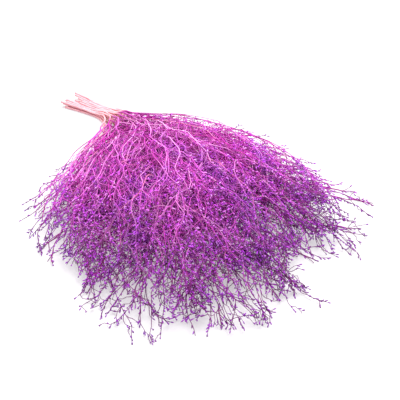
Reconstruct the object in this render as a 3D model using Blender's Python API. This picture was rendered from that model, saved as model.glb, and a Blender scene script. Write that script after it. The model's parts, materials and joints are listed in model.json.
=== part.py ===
"""Dried statice: a loose bunch of fine-branching sprays, dyed violet, lying on its side.

Metres, +Z up. The bunch lies on the plane z = 0 with its cut ends toward +Y, and it fans out
toward -Y. The origin is under the middle of its bounding box.

Each spray is one grown piece: a bare cut stem, the main stem that goes on from it, and three
orders of side branches. Every branch ends in a floret, a papery cup that widens to its rim.
A side branch is grown only where it clears every other spray, so the sprays stay separate.
"""

import math
from dataclasses import dataclass

import bmesh
import bpy
import numpy as np

MM = 0.001
UP = np.array([0.0, 0.0, 1.0])
SEED = 7

# The bundle of stems, pinched together at the waist: rows from the surface upwards, and columns
# from the left side of the fan to the right. Shifts are in columns.
ROWS = 3
COLUMNS = 8
ROW_SHIFTS = (-0.25, 0.25, -0.25)
STEM_PITCH = 2.6 * MM
STEM_RADIUS = 1.5 * MM  # to the corner of a square section, for a round stem of 2.4 mm
STEM_FLAT = STEM_RADIUS / math.sqrt(2)  # from the middle of the section to one of its sides
STEM_TIP_RADIUS = 0.65 * MM
STEM_TAPER = 0.8
WAIST = np.array([-0.048, 0.203, 0.0])
BUNDLE_HEADING = 34.0
BARE_LENGTH = 48 * MM
BARE_UNEVENNESS = 13 * MM
CUT_END_SPREAD = 1.45

# The fan. A heading is in degrees from -Y toward +X. The outline gives the furthest reach from
# the waist at some headings. Beside the neck the fan opens bit by bit on its left side: the flank
# gives the lowest heading at some distances from the waist.
STEM_HEADINGS = (-35.0, 41.0)
HEADING_JITTER = 1.5
FAN_SHIFTS = (0.25, -0.25, 0.0)
OUTLINE_HEADINGS = (-43, -40, -36, -26, -14, -3, 3, 12, 20, 30, 38, 43, 48)
OUTLINE_REACH = (0.12, 0.19, 0.225, 0.293, 0.356, 0.418, 0.414, 0.394, 0.36, 0.372, 0.36, 0.3, 0.2)
FLANK_DISTANCES = (0.03, 0.065, 0.11, 0.16)
FLANK_HEADINGS = (-12, -25, -38, -44)
ROW_REACH = (1.0, 0.92, 0.76)
SHORTEST_REACH = 0.96

# A stem's curve has four control points: the waist, one early on, one late and the tip. The
# distances from the ends are shares of its reach. Each row has its early, late and tip heights.
EARLY_SHARE = 0.16
LATE_SHARE = 0.4
TIP_SPLAY = 1.12  # a stem's own heading grows by this toward its tip
ROW_HEIGHTS = ((3 * MM, 5 * MM, 1.5 * MM), (9 * MM, 40 * MM, 12 * MM), (22 * MM, 88 * MM, 38 * MM))
EDGE_SINK = 0.7  # share of its height that a stem at the edge of the fan loses

# The joints of a stem along its curve, where it turns from side to side and forks
STEM_JOINTS = np.array((0.07, 0.15, 0.26, 0.37, 0.48, 0.58, 0.67, 0.76, 0.85, 0.93, 1.0))
STEM_ZIGZAG = 3.0 * MM
LEAST_ZIGZAG = 0.6  # share of the zigzag that a joint gets at least
FULL_ZIGZAG_SHARE = 0.35
FIRST_FORK_JOINT = 4
FORK_PAST_JOINT = 1.5 * MM
LEAST_RISE = 0.5 * MM  # of a fork's side, so that it has one where the stem runs straight

# The mound: no branch rises over it
MOUND_HEIGHT = 74 * MM
MOUND_EDGE_HEIGHT = 5 * MM
MOUND_CREST = 5.0  # the heading of its crest
MOUND_SINK = 0.88  # share of its height that the mound loses at the edges of the fan
MOUND_ONSET = 1.12  # above 1, its top is past the middle of the way to the outline
FLANK_OPENING = 40.0  # how far past the flank, in degrees, the mound has its whole height

# Side branches
ROLL = 35.0  # the most, in degrees, that one turns round its parent from its own side
LENGTH_SPREAD = (0.8, 1.15)
LEAN = 0.2  # how much each stretch turns toward the outline
RISE_OR_DROOP = (-0.25, 0.1)
ZIGZAG = 0.14
SIDE_RISE = 0.25
LAST_SHRINK = 0.5  # share of its length that a branch has lost by its last try
CLEARANCE = 0.4 * MM
RESTING_SHARE = 0.5  # how far a branch's middle stays above the surface, in radii
SUNK_SHARE = {3: 0.45, 4: 0.65}  # radius at the root, by the sides of the parent that it sinks into

FLORET_LENGTH = 4.5 * MM
FLORET_RADIUS = 0.95 * MM


@dataclass(frozen=True)
class Order:
    """How one order of side branches grows from its parents."""

    angles: tuple  # smallest and largest, in degrees from the parent
    length_share: float  # of what is left of the parent past the fork
    least_length: float
    longest_segment: float
    root_radius: float
    tip_radius: float
    fork_spacing: float  # between the forks on a branch of this order
    tries: int


PRIMARY = Order(
    angles=(28, 50),
    length_share=0.40,
    least_length=26 * MM,
    longest_segment=50 * MM,
    root_radius=0.7 * MM,
    tip_radius=0.55 * MM,
    fork_spacing=31 * MM,
    tries=12,
)
SECONDARY = Order(
    angles=(32, 55),
    length_share=0.45,
    least_length=13 * MM,
    longest_segment=40 * MM,
    root_radius=0.55 * MM,
    tip_radius=0.48 * MM,
    fork_spacing=25 * MM,
    tries=10,
)
TWIGLET = Order(
    angles=(35, 60),
    length_share=0.20,
    least_length=8 * MM,
    longest_segment=30 * MM,
    root_radius=0.48 * MM,
    tip_radius=0.45 * MM,
    fork_spacing=math.inf,
    tries=8,
)


@dataclass(eq=False)
class Branch:
    """A path from its root to its tip, with a radius at each point, on one of the sprays."""

    spray: int
    points: np.ndarray
    radii: np.ndarray
    sides: int = 3

    def distances(self):
        """How far along the branch each of its points is."""
        steps = np.linalg.norm(np.diff(self.points, axis=0), axis=1)
        return np.concatenate([[0.0], np.cumsum(steps)])

    def at(self, distance):
        """The point this far along, the way that the branch runs there, and its radius."""
        marks = self.distances()
        index = int(np.clip(np.searchsorted(marks, distance) - 1, 0, len(marks) - 2))
        share = (distance - marks[index]) / (marks[index + 1] - marks[index])
        start, end = self.points[index : index + 2]
        return mix(start, end, share), unit(end - start), mix(*self.radii[index : index + 2], share)


def unit(vector):
    return vector / np.linalg.norm(vector)


def along(heading):
    """The level direction of a heading, or of an array of them."""
    angle = np.radians(heading)
    return np.stack([np.sin(angle), -np.cos(angle), np.zeros_like(angle)], axis=-1)


def across(heading):
    """The level direction a quarter turn from a heading, toward larger headings."""
    return along(heading + 90.0)


def mix(low, high, share):
    return low + (high - low) * share


def reach_at(heading):
    return np.interp(heading, OUTLINE_HEADINGS, OUTLINE_REACH)


def fan_place(point):
    """The heading of a point seen from the waist, and its level distance from there."""
    from_waist = point - WAIST
    heading = math.degrees(math.atan2(from_waist[0], -from_waist[1]))
    return heading, math.hypot(from_waist[0], from_waist[1])


def mound_ceiling(heading, share, opened):
    """The highest that a branch may reach at this heading and share of the way to the outline.

    How far the heading is past the flank, as a share of the flank's opening, lowers it as well.
    """
    off_crest = (heading - MOUND_CREST) / np.ptp(OUTLINE_HEADINGS) * 2
    sides = (1 - MOUND_SINK * min(abs(off_crest), 1.0) ** 2) * math.sqrt(min(opened, 1.0))
    return MOUND_EDGE_HEIGHT + MOUND_HEIGHT * sides * math.sin(math.pi * share**MOUND_ONSET)


def inside_mound(points):
    for point in points[1:]:
        heading, distance = fan_place(point)
        share = distance / reach_at(heading)
        opened = (heading - np.interp(distance, FLANK_DISTANCES, FLANK_HEADINGS)) / FLANK_OPENING
        if share >= 1.0 or opened < 0 or point[2] > mound_ceiling(heading, share, opened):
            return False
    return True


def segment_gaps(starts, ends, other_starts, other_ends):
    """The least distance between each of some segments and each of some others."""
    first = (ends - starts)[:, None]
    second = (other_ends - other_starts)[None]
    between = starts[:, None] - other_starts[None]
    first_sq = (first * first).sum(-1)
    second_sq = (second * second).sum(-1)
    cross = (first * second).sum(-1)
    first_off = (first * between).sum(-1)
    second_off = (second * between).sum(-1)
    spread = np.maximum(first_sq * second_sq - cross * cross, 1e-18)
    s = np.clip((cross * second_off - first_off * second_sq) / spread, 0, 1)
    t = np.clip((cross * s + second_off) / second_sq, 0, 1)
    s = np.clip((cross * t - first_off) / first_sq, 0, 1)
    gap = between + first * s[..., None] - second * t[..., None]
    return np.sqrt((gap * gap).sum(-1))


class Thicket:
    """Every branch grown so far, as segments that a new branch has to clear."""

    def __init__(self):
        self.starts = np.empty((0, 3))
        self.ends = np.empty((0, 3))
        self.radii = np.empty(0)
        self.owners = np.empty(0, int)

    def add(self, branch):
        count = len(branch.points) - 1
        self.starts = np.concatenate([self.starts, branch.points[:-1]])
        self.ends = np.concatenate([self.ends, branch.points[1:]])
        self.radii = np.concatenate([self.radii, np.maximum(branch.radii[:-1], branch.radii[1:])])
        self.owners = np.concatenate([self.owners, np.full(count, id(branch))])

    def clears(self, branch, parent):
        """Whether the branch keeps its distance to every branch but the one it grows from."""
        others = self.owners != id(parent)
        gaps = segment_gaps(
            branch.points[:-1], branch.points[1:], self.starts[others], self.ends[others]
        )
        radii = np.maximum(branch.radii[:-1], branch.radii[1:])
        return bool((gaps - radii[:, None] - self.radii[others] > CLEARANCE).all())


def stem_controls(row, column, rng):
    """A stem's cut end, and the four control points of its curve from the waist to its tip."""
    side = across(BUNDLE_HEADING) * (column - (COLUMNS - 1) / 2 + ROW_SHIFTS[row]) * STEM_PITCH
    rest_height = STEM_FLAT + row * STEM_PITCH
    waist = WAIST + side + UP * rest_height
    bare = BARE_LENGTH + rng.uniform(-1, 1) * BARE_UNEVENNESS
    cut_end = waist + side * (CUT_END_SPREAD - 1) - along(BUNDLE_HEADING) * bare

    fan_share = (column + 0.5 + FAN_SHIFTS[row]) / COLUMNS
    heading = mix(*STEM_HEADINGS, fan_share) + rng.uniform(-1, 1) * HEADING_JITTER
    reach = reach_at(heading) * ROW_REACH[row] * rng.uniform(SHORTEST_REACH, 1.0)
    sink = 1 - EDGE_SINK * (2 * fan_share - 1) ** 2
    early_height, late_height, tip_height = np.array(ROW_HEIGHTS[row]) * sink
    early = waist * (1, 1, 0) + along(BUNDLE_HEADING) * reach * EARLY_SHARE
    tip = WAIST + along(heading) * reach
    late = tip - along(heading * TIP_SPLAY) * reach * LATE_SHARE
    early = early + UP * max(early_height, rest_height)
    late = late + UP * max(late_height, STEM_FLAT)
    return cut_end, (waist, early, late, tip + UP * tip_height), heading


def stem(row, column, rng):
    """The main stem of the spray at this place in the bundle, from its cut end to its tip."""
    cut_end, (waist, early, late, tip), heading = stem_controls(row, column, rng)
    t = STEM_JOINTS[:, None]
    path = (1 - t) ** 3 * waist + 3 * t * (1 - t) ** 2 * early + 3 * t**2 * (1 - t) * late + t**3 * tip

    # A stem turns a little at each joint, to one side and then to the other
    turns = np.where(np.arange(len(path)) % 2, 1.0, -1.0) * rng.choice((-1, 1))
    swing = STEM_ZIGZAG * np.minimum(t[:, 0] / FULL_ZIGZAG_SHARE, 1) ** 2 * (t[:, 0] < 1)
    path += across(heading) * (turns * swing * rng.uniform(LEAST_ZIGZAG, 1.0, len(path)))[:, None]
    points = np.concatenate([[cut_end, waist], path])
    taper = mix(STEM_RADIUS, STEM_TIP_RADIUS, STEM_JOINTS**STEM_TAPER)
    radii = np.concatenate([[STEM_RADIUS, STEM_RADIUS], taper])
    points[:, 2] = np.maximum(points[:, 2], radii / math.sqrt(2))
    return Branch(row * COLUMNS + column, *with_floret(points, radii), sides=4)


def with_floret(points, radii):
    """The path with its last stretch widened into a floret."""
    last = unit(points[-1] - points[-2])
    neck = points[-1] - last * FLORET_LENGTH
    points = np.concatenate([points[:-1], [neck, points[-1]]])
    radii = np.concatenate([radii[:-1], [radii[-1], FLORET_RADIUS]])
    return points, radii


def side_branch(order, parent, distance, outward, rng, shrink):
    """A branch of this order, rooted this far along its parent, leaning toward the outline."""
    root, parent_way, parent_radius = parent.at(distance)
    left = parent.distances()[-1] - distance
    length = (order.least_length + order.length_share * left) * shrink
    length *= rng.uniform(*LENGTH_SPREAD)
    roll = math.radians(rng.uniform(-ROLL, ROLL))
    outward = math.cos(roll) * outward + math.sin(roll) * np.cross(parent_way, outward)
    angle = math.radians(rng.uniform(*order.angles))
    way = math.cos(angle) * parent_way + math.sin(angle) * outward
    heading, _ = fan_place(root)
    lean = along(heading) + UP * rng.uniform(*RISE_OR_DROOP)

    count = max(1, round(length / order.longest_segment))
    points = [root]
    for index in range(count):
        way = unit(way + LEAN * lean)
        zigzag = outward * (ZIGZAG if index % 2 else -ZIGZAG) * (count > 1)
        points.append(points[-1] + unit(way + zigzag) * length / count)
    points = np.array(points)
    radii = np.linspace(order.root_radius, order.tip_radius, count + 1)
    radii[0] = min(order.root_radius, parent_radius * SUNK_SHARE[parent.sides])
    points[1:, 2] = np.maximum(points[1:, 2], radii[1:] * RESTING_SHARE)
    return Branch(parent.spray, *with_floret(points, radii))


def sideways(branch, distance, side):
    """A direction square to the branch and a little raised, to its right, or to its left for -1."""
    _, way, _ = branch.at(distance)
    level = unit(np.cross(way, UP))
    return unit(side * level + SIDE_RISE * np.cross(level, way))


def fork_distances(branch, spacing):
    """Where a side branch forks again: evenly along the stretch between its root and its floret."""
    length = branch.distances()[-2]
    count = int(length / spacing)
    return (np.arange(count) + 0.75) / (count + 0.25) * length


def grow_order(order, forks, thicket, rng):
    """One branch of this order at each fork, tried until it clears the rest of the bunch.

    A fork is a parent branch, a distance along it and the direction of the side it opens to.
    """
    grown = []
    for parent, distance, outward in forks:
        for attempt in range(order.tries):
            shrink = 1 - LAST_SHRINK * attempt / order.tries
            branch = side_branch(order, parent, distance, outward, rng, shrink)
            if inside_mound(branch.points) and thicket.clears(branch, parent):
                thicket.add(branch)
                grown.append(branch)
                break
    return grown


def stem_forks(stems):
    """A fork just past each joint of the fanned part of a stem, on the outside of its turn."""
    for branch in stems:
        marks = branch.distances()
        for joint in range(FIRST_FORK_JOINT, len(marks) - 2):
            before, here, after = branch.points[joint - 1 : joint + 2]
            outward = unit(here - (before + after) / 2 + LEAST_RISE * UP)
            yield branch, marks[joint] + FORK_PAST_JOINT, outward


def side_forks(branches, spacing):
    """Forks along side branches, to one side and then to the other."""
    for branch in branches:
        for index, distance in enumerate(fork_distances(branch, spacing)):
            yield branch, distance, sideways(branch, distance, 1 if index % 2 else -1)


def grow_bunch():
    """Every branch of every spray, grown order by order so that the sprays fill the fan evenly."""
    rng = np.random.default_rng(SEED)
    stems = [stem(row, column, rng) for row in range(ROWS) for column in range(COLUMNS)]
    thicket = Thicket()
    for branch in stems:
        thicket.add(branch)
    primaries = grow_order(PRIMARY, stem_forks(stems), thicket, rng)
    forks = side_forks(primaries, PRIMARY.fork_spacing)
    secondaries = grow_order(SECONDARY, forks, thicket, rng)
    forks = side_forks(secondaries, SECONDARY.fork_spacing)
    twiglets = grow_order(TWIGLET, forks, thicket, rng)
    return stems + primaries + secondaries + twiglets


def rings(branch):
    """Rings of corner points round a branch's points, flattened where they meet the surface.

    At a bend the ring lies in the mitre plane, and the section is carried on past it without
    twist, so the faces between two rings stay flat.
    """
    steps = np.diff(branch.points, axis=0)
    ways = steps / np.linalg.norm(steps, axis=1, keepdims=True)
    level = unit(np.cross(ways[0], UP))
    rise = np.cross(level, ways[0])
    turns = math.tau * (np.arange(branch.sides) + 0.5) / branch.sides - math.pi / 2
    section = np.outer(np.cos(turns), level) + np.outer(np.sin(turns), rise)
    corners = [section]
    for before, after in zip(ways, ways[1:]):
        mitre = unit(before + after)
        slid = section - np.outer(section @ mitre / (before @ mitre), before)
        corners.append(slid)
        section = slid - np.outer(slid @ after, after)
    corners.append(section)
    corners = branch.points[:, None] + np.array(corners) * branch.radii[:, None, None]
    corners[..., 2] = np.maximum(corners[..., 2], 0.0)
    return corners


def middle_of(branches):
    """The point on the surface under the middle of the bunch's bounding box."""
    corners = np.concatenate([rings(branch).reshape(-1, 3) for branch in branches])
    return (corners.min(axis=0) + corners.max(axis=0)) / 2 * (1, 1, 0)


def branch_mesh(name, corners):
    """A closed tube through rings of corners, from the first ring to the last."""
    work = bmesh.new()
    loops = [[work.verts.new(corner) for corner in ring] for ring in corners]
    for lower, upper in zip(loops, loops[1:]):
        for index in range(len(lower)):
            after = (index + 1) % len(lower)
            work.faces.new((lower[index], lower[after], upper[after], upper[index]))
    work.faces.new(loops[0][::-1])
    work.faces.new(loops[-1])
    bmesh.ops.recalc_face_normals(work, faces=work.faces)
    bmesh.ops.triangulate(work, faces=work.faces)
    mesh = bpy.data.meshes.new(name)
    work.to_mesh(mesh)
    work.free()
    return mesh


def dyed_stem_material(name):
    material = bpy.data.materials.new(name)
    material.use_nodes = True
    shader = material.node_tree.nodes["Principled BSDF"]
    shader.inputs["Base Color"].default_value = (0.36, 0.06, 0.42, 1.0)
    shader.inputs["Roughness"].default_value = 0.75
    shader.inputs["Metallic"].default_value = 0.0
    return material


def spray_object(number, branches, origin):
    """One spray: its stem with all of its branches joined to it in one solid."""
    name = f"spray_{number + 1:02d}"
    twigs = bpy.data.collections.new(name + "_twigs")
    objects = []
    for branch in branches:
        obj = bpy.data.objects.new(name + "_twig", branch_mesh(name, rings(branch) - origin))
        objects.append(obj)
    stem_object, *others = objects
    stem_object.name = name
    bpy.context.scene.collection.objects.link(stem_object)
    for obj in others:
        twigs.objects.link(obj)

    union = stem_object.modifiers.new("union", "BOOLEAN")
    union.operation = "UNION"
    union.solver = "MANIFOLD"
    union.operand_type = "COLLECTION"
    union.collection = twigs
    evaluated = stem_object.evaluated_get(bpy.context.evaluated_depsgraph_get())
    joined = bpy.data.meshes.new_from_object(evaluated)
    stem_object.modifiers.clear()
    stem_object.data = joined
    joined.name = name
    joined.materials.clear()
    joined.materials.append(dyed_stem_material(name + "_dyed_stem"))
    for obj in others:
        bpy.data.objects.remove(obj)
    bpy.data.collections.remove(twigs)
    return stem_object


def main():
    for obj in list(bpy.data.objects):
        bpy.data.objects.remove(obj)
    branches = grow_bunch()
    origin = middle_of(branches)
    for number in range(ROWS * COLUMNS):
        spray_object(number, [branch for branch in branches if branch.spray == number], origin)


main()
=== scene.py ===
"""A bunch of dried statice lying on its side: its finer sprays, a studio and the camera.

Metres, +Z up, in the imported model's frame. The sprays are grown by the rules and draws that the
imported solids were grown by, so each finer spray lies where its solid does. The twigs and florets
that are too fine for the solids are then grown from them. Angles are in degrees.
"""

import json
import logging
import math
from collections.abc import Iterator
from dataclasses import dataclass, field
from enum import Enum

import bpy
import numpy as np
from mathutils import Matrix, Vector

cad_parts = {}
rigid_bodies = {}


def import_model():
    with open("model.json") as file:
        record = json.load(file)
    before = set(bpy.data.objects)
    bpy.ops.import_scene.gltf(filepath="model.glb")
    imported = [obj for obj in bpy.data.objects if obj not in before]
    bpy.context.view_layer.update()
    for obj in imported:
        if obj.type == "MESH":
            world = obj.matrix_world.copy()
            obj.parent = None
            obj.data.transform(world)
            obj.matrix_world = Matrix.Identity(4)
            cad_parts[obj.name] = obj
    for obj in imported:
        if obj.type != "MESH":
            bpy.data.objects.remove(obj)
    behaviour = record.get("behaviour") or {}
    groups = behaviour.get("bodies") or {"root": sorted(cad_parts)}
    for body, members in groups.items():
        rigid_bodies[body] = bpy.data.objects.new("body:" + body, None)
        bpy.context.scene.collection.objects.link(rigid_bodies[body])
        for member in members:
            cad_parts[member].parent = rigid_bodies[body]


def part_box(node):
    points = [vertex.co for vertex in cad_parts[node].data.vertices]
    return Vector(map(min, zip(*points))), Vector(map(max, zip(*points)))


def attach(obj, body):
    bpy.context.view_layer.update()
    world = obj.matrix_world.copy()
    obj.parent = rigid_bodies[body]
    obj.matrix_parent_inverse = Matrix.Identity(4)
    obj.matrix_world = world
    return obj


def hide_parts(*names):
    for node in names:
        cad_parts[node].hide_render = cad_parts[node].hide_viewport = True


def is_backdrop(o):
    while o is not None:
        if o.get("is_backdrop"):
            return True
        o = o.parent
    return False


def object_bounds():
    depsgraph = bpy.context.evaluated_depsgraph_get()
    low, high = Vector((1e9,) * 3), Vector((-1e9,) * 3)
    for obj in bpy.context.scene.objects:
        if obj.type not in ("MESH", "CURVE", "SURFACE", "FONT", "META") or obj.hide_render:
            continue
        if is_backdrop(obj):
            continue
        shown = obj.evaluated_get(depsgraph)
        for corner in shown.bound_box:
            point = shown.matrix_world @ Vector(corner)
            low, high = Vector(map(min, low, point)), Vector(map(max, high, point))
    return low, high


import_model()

Array = np.ndarray
Draws = np.random.Generator
Pair = tuple[float, float]
Numbers = tuple[float, ...]
Colour = tuple[int, int, int]  # red, green and blue as a screen shows them, 0 to 255

LOG = logging.getLogger("dried_statice")
MM = 0.001
UP = np.array([0.0, 0.0, 1.0])
NEARLY_UP = np.array([0.013, 0.021, 1.0])  # never quite along a twig, so it gives one a level side
GROWTH_SEED = 7
FINE_SEED = 11
PARALLEL = 1e-18  # in place of 0 where two segments run the same way
SOLID_FLORET_LENGTH = 4.5 * MM
SOLID_FLORET_RADIUS = 0.95 * MM
TWIG_MAP = "round_and_along"
DISC_SIZE = 0.02  # of a twig's ends in that map
SPECK_DETAIL = 3.0  # finer layers of the noises
FINE_DETAIL = 4.0

# The rings of a cut end, from the bottom of its pith hollow outwards: how deep each one lies, its
# share of the radius, and the value that its finish reads
CUT_END = ((0.5 * MM, 0.3, 1.0), (0.0, 0.42, 0.7), (0.0, 0.9, 0.4))

# A floret's profile, closed and open, in shares of its length and its radius
TUBE_HEIGHTS = (0.36, 0.50)
TUBE_RADII = (0.72, 0.52)
RIM_HEIGHTS = (0.74, 1.0)
RIM_RADII = (0.84, 1.3)
NOTCH_DEPTHS = (0.03, 0.13)
NOTCH_SHARES = (0.08, 0.26)
TIP_HEIGHTS = (1.0, 0.68)
TUBE_LEVEL = 0.45
RIM_LEVEL = 0.85

# A lobe's faces, by the numbers of their corners: 0 the foot, 1 and 2 its two tube points, 3 its
# rim point, 4 the notch after it, 5 the next rim point and 6 the tip
LOBE_FACES = np.array([(0, 2, 1), (1, 2, 4), (1, 4, 3), (2, 5, 4), (3, 4, 6), (4, 5, 6)])
LOBE_AROUND = np.array([[0.5], [0.0], [1.0], [0.0], [0.5], [1.0], [0.5]])  # across the lobe


def unit(vectors: Array) -> Array:
    """Vectors, along the last axis, brought to length one."""
    return vectors / np.linalg.norm(vectors, axis=-1, keepdims=True)


def mix(low: Array | float, high: Array | float, share: Array | float) -> Array | float:
    """What lies this share of the way from low to high."""
    return low + (high - low) * share


def along(heading: Array | float) -> Array:
    """The level direction of a heading, measured from -Y toward +X, along a new last axis."""
    angle = np.radians(heading)
    return np.stack([np.sin(angle), -np.cos(angle), np.zeros_like(angle)], axis=-1)


def level_side(ways: Array) -> Array:
    """A level direction square to each way."""
    return unit(np.cross(ways, NEARLY_UP))


def swung(way: Array, side: Array, angle: Array) -> Array:
    """A direction swung by an angle toward another that is square to it."""
    return np.cos(angle) * way + np.sin(angle) * side


def turned(ways: Array, angle: Array) -> Array:
    """Directions turned about the upright.

    Args:
        ways: The directions, along the last axis.
        angle: The angle for each of them.

    Returns:
        The turned directions.
    """
    cosine, sine = np.cos(np.radians(angle)), np.sin(np.radians(angle))
    x, y, z = np.moveaxis(ways, -1, 0)
    return np.stack([x * cosine - y * sine, x * sine + y * cosine, z], axis=-1)


def eased(values: Array, start: float, end: float) -> Array:
    """Values turned into shares that rise smoothly, 3 s^2 - 2 s^3, from 0 at start to 1 at end."""
    share = np.clip((values - start) / (end - start), 0, 1)
    return share * share * (3 - 2 * share)


@dataclass(frozen=True)
class Order:
    """How one order of side branches grows from its parents, and how thick it looks."""

    angles: Pair  # smallest and largest, from the parent
    length_share: float  # of what is left of the parent past the fork
    least_length: float
    longest_segment: float
    root_radius: float
    tip_radius: float
    fork_spacing: float  # between the forks on a branch of this order
    tries: int


class SideBranch(Enum):
    """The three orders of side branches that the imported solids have."""

    PRIMARY = Order(
        angles=(28, 50), length_share=0.40, least_length=26 * MM, longest_segment=50 * MM,
        root_radius=0.7 * MM, tip_radius=0.55 * MM, fork_spacing=31 * MM, tries=12,
    )
    SECONDARY = Order(
        angles=(32, 55), length_share=0.45, least_length=13 * MM, longest_segment=40 * MM,
        root_radius=0.55 * MM, tip_radius=0.48 * MM, fork_spacing=25 * MM, tries=10,
    )
    TWIGLET = Order(
        angles=(35, 60), length_share=0.20, least_length=8 * MM, longest_segment=30 * MM,
        root_radius=0.48 * MM, tip_radius=0.45 * MM, fork_spacing=math.inf, tries=8,
    )


@dataclass(eq=False)
class Branch:
    """A path from its root to its tip, with a radius at each point, on one of the sprays."""

    spray: int
    points: Array
    radii: Array
    sides: int = 3
    parent: "Branch | None" = None
    root: float = 0.0  # its root's distance along its parent

    def distances(self) -> Array:
        """How far along the branch each of its points is."""
        steps = np.linalg.norm(np.diff(self.points, axis=0), axis=1)
        return np.concatenate([[0.0], np.cumsum(steps)])

    def at(self, distance: float) -> tuple[Array, Array, float]:
        """A place on the branch.

        Args:
            distance: How far along the branch it is.

        Returns:
            The point, the way that the branch runs there, and its radius.
        """
        marks = self.distances()
        index = int(np.clip(np.searchsorted(marks, distance) - 1, 0, len(marks) - 2))
        share = (distance - marks[index]) / (marks[index + 1] - marks[index])
        start, end = self.points[index : index + 2]
        return mix(start, end, share), unit(end - start), mix(*self.radii[index : index + 2], share)


@dataclass(frozen=True)
class Mound:
    """The outline that the bunch fans out to, seen from its waist, and the mound it rises to."""

    waist: tuple[float, float, float] = (-0.048, 0.203, 0.0)
    headings: Numbers = (-43, -40, -36, -26, -14, -3, 3, 12, 20, 30, 38, 43, 48)
    reach: Numbers = (
        0.12, 0.19, 0.225, 0.293, 0.356, 0.418, 0.414, 0.394, 0.36, 0.372, 0.36, 0.3, 0.2,
    )
    flank_distances: Numbers = (0.03, 0.065, 0.11, 0.16)
    flank_headings: Numbers = (-12, -25, -38, -44)  # the lowest beside the neck
    flank_opening: float = 40.0  # how far past the flank the mound has its whole height
    last_heading: float = 47.0
    side_width: float = 32.0  # of the fan's sides, in degrees of heading
    past_neck: Pair = (0.25, 0.55)  # shares of the way where the sides start
    height: float = 74 * MM
    edge_height: float = 5 * MM
    crest: float = 5.0  # the heading where it is highest
    sink: float = 0.88  # share of its height that it loses at the edges of the fan
    onset: float = 1.12  # above 1, it rises later than a sine

    def reach_at(self, heading: Array | float) -> Array | float:
        """The furthest reach from the waist at a heading, between the outline's own points."""
        return np.interp(heading, self.headings, self.reach)

    def place(self, points: Array) -> tuple[Array, Array]:
        """Where points lie in the fan.

        Args:
            points: Points along the last axis.

        Returns:
            The heading of each from the waist, and its level distance from there.
        """
        from_waist = points - np.array(self.waist)
        heading = np.degrees(np.arctan2(from_waist[..., 0], -from_waist[..., 1]))
        return heading, np.hypot(from_waist[..., 0], from_waist[..., 1])

    def share(self, points: Array) -> Array:
        """How far each point is on the way to the outline, as a share."""
        heading, distance = self.place(points)
        return distance / self.reach_at(heading)

    def past_flank(self, points: Array) -> Array:
        """How far each point's heading is past the left flank, in degrees; less than 0 outside."""
        heading, distance = self.place(points)
        return heading - np.interp(distance, self.flank_distances, self.flank_headings)

    def out(self, points: Array) -> Array:
        """How near each point is to the outline or, past the neck, to the fan's sides.

        Args:
            points: Points along the last axis.

        Returns:
            The shares, 1 at the outline.
        """
        heading, _ = self.place(points)
        share = np.clip(self.share(points), 0, 1)
        inside = np.minimum(self.last_heading - heading, self.past_flank(points)) / self.side_width
        return np.maximum(share, (1 - np.clip(inside, 0, 1)) * eased(share, *self.past_neck))

    def ceiling(self, points: Array) -> Array:
        """The mound's height over each point's place in the fan.

        Its height over its edge is sin(pi * share^onset) on the way to the outline. It falls off
        with the square of the heading's distance from the crest, and with the square root of its
        distance from the flank.

        Args:
            points: Points along the last axis.

        Returns:
            The heights.
        """
        heading, _ = self.place(points)
        off_crest = (heading - self.crest) / np.ptp(self.headings) * 2
        opened = np.clip(self.past_flank(points) / self.flank_opening, 0, 1)
        sides = (1 - self.sink * np.minimum(np.abs(off_crest), 1.0) ** 2) * np.sqrt(opened)
        rise = np.sin(np.pi * np.minimum(self.share(points), 1) ** self.onset)
        return self.edge_height + self.height * sides * rise

    def holds(self, points: Array) -> Array:
        """Whether each point is inside the outline, past the flank and under the mound."""
        level = (self.share(points) < 1.0) & (self.past_flank(points) >= 0)
        return level & (points[..., 2] <= self.ceiling(points))


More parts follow.
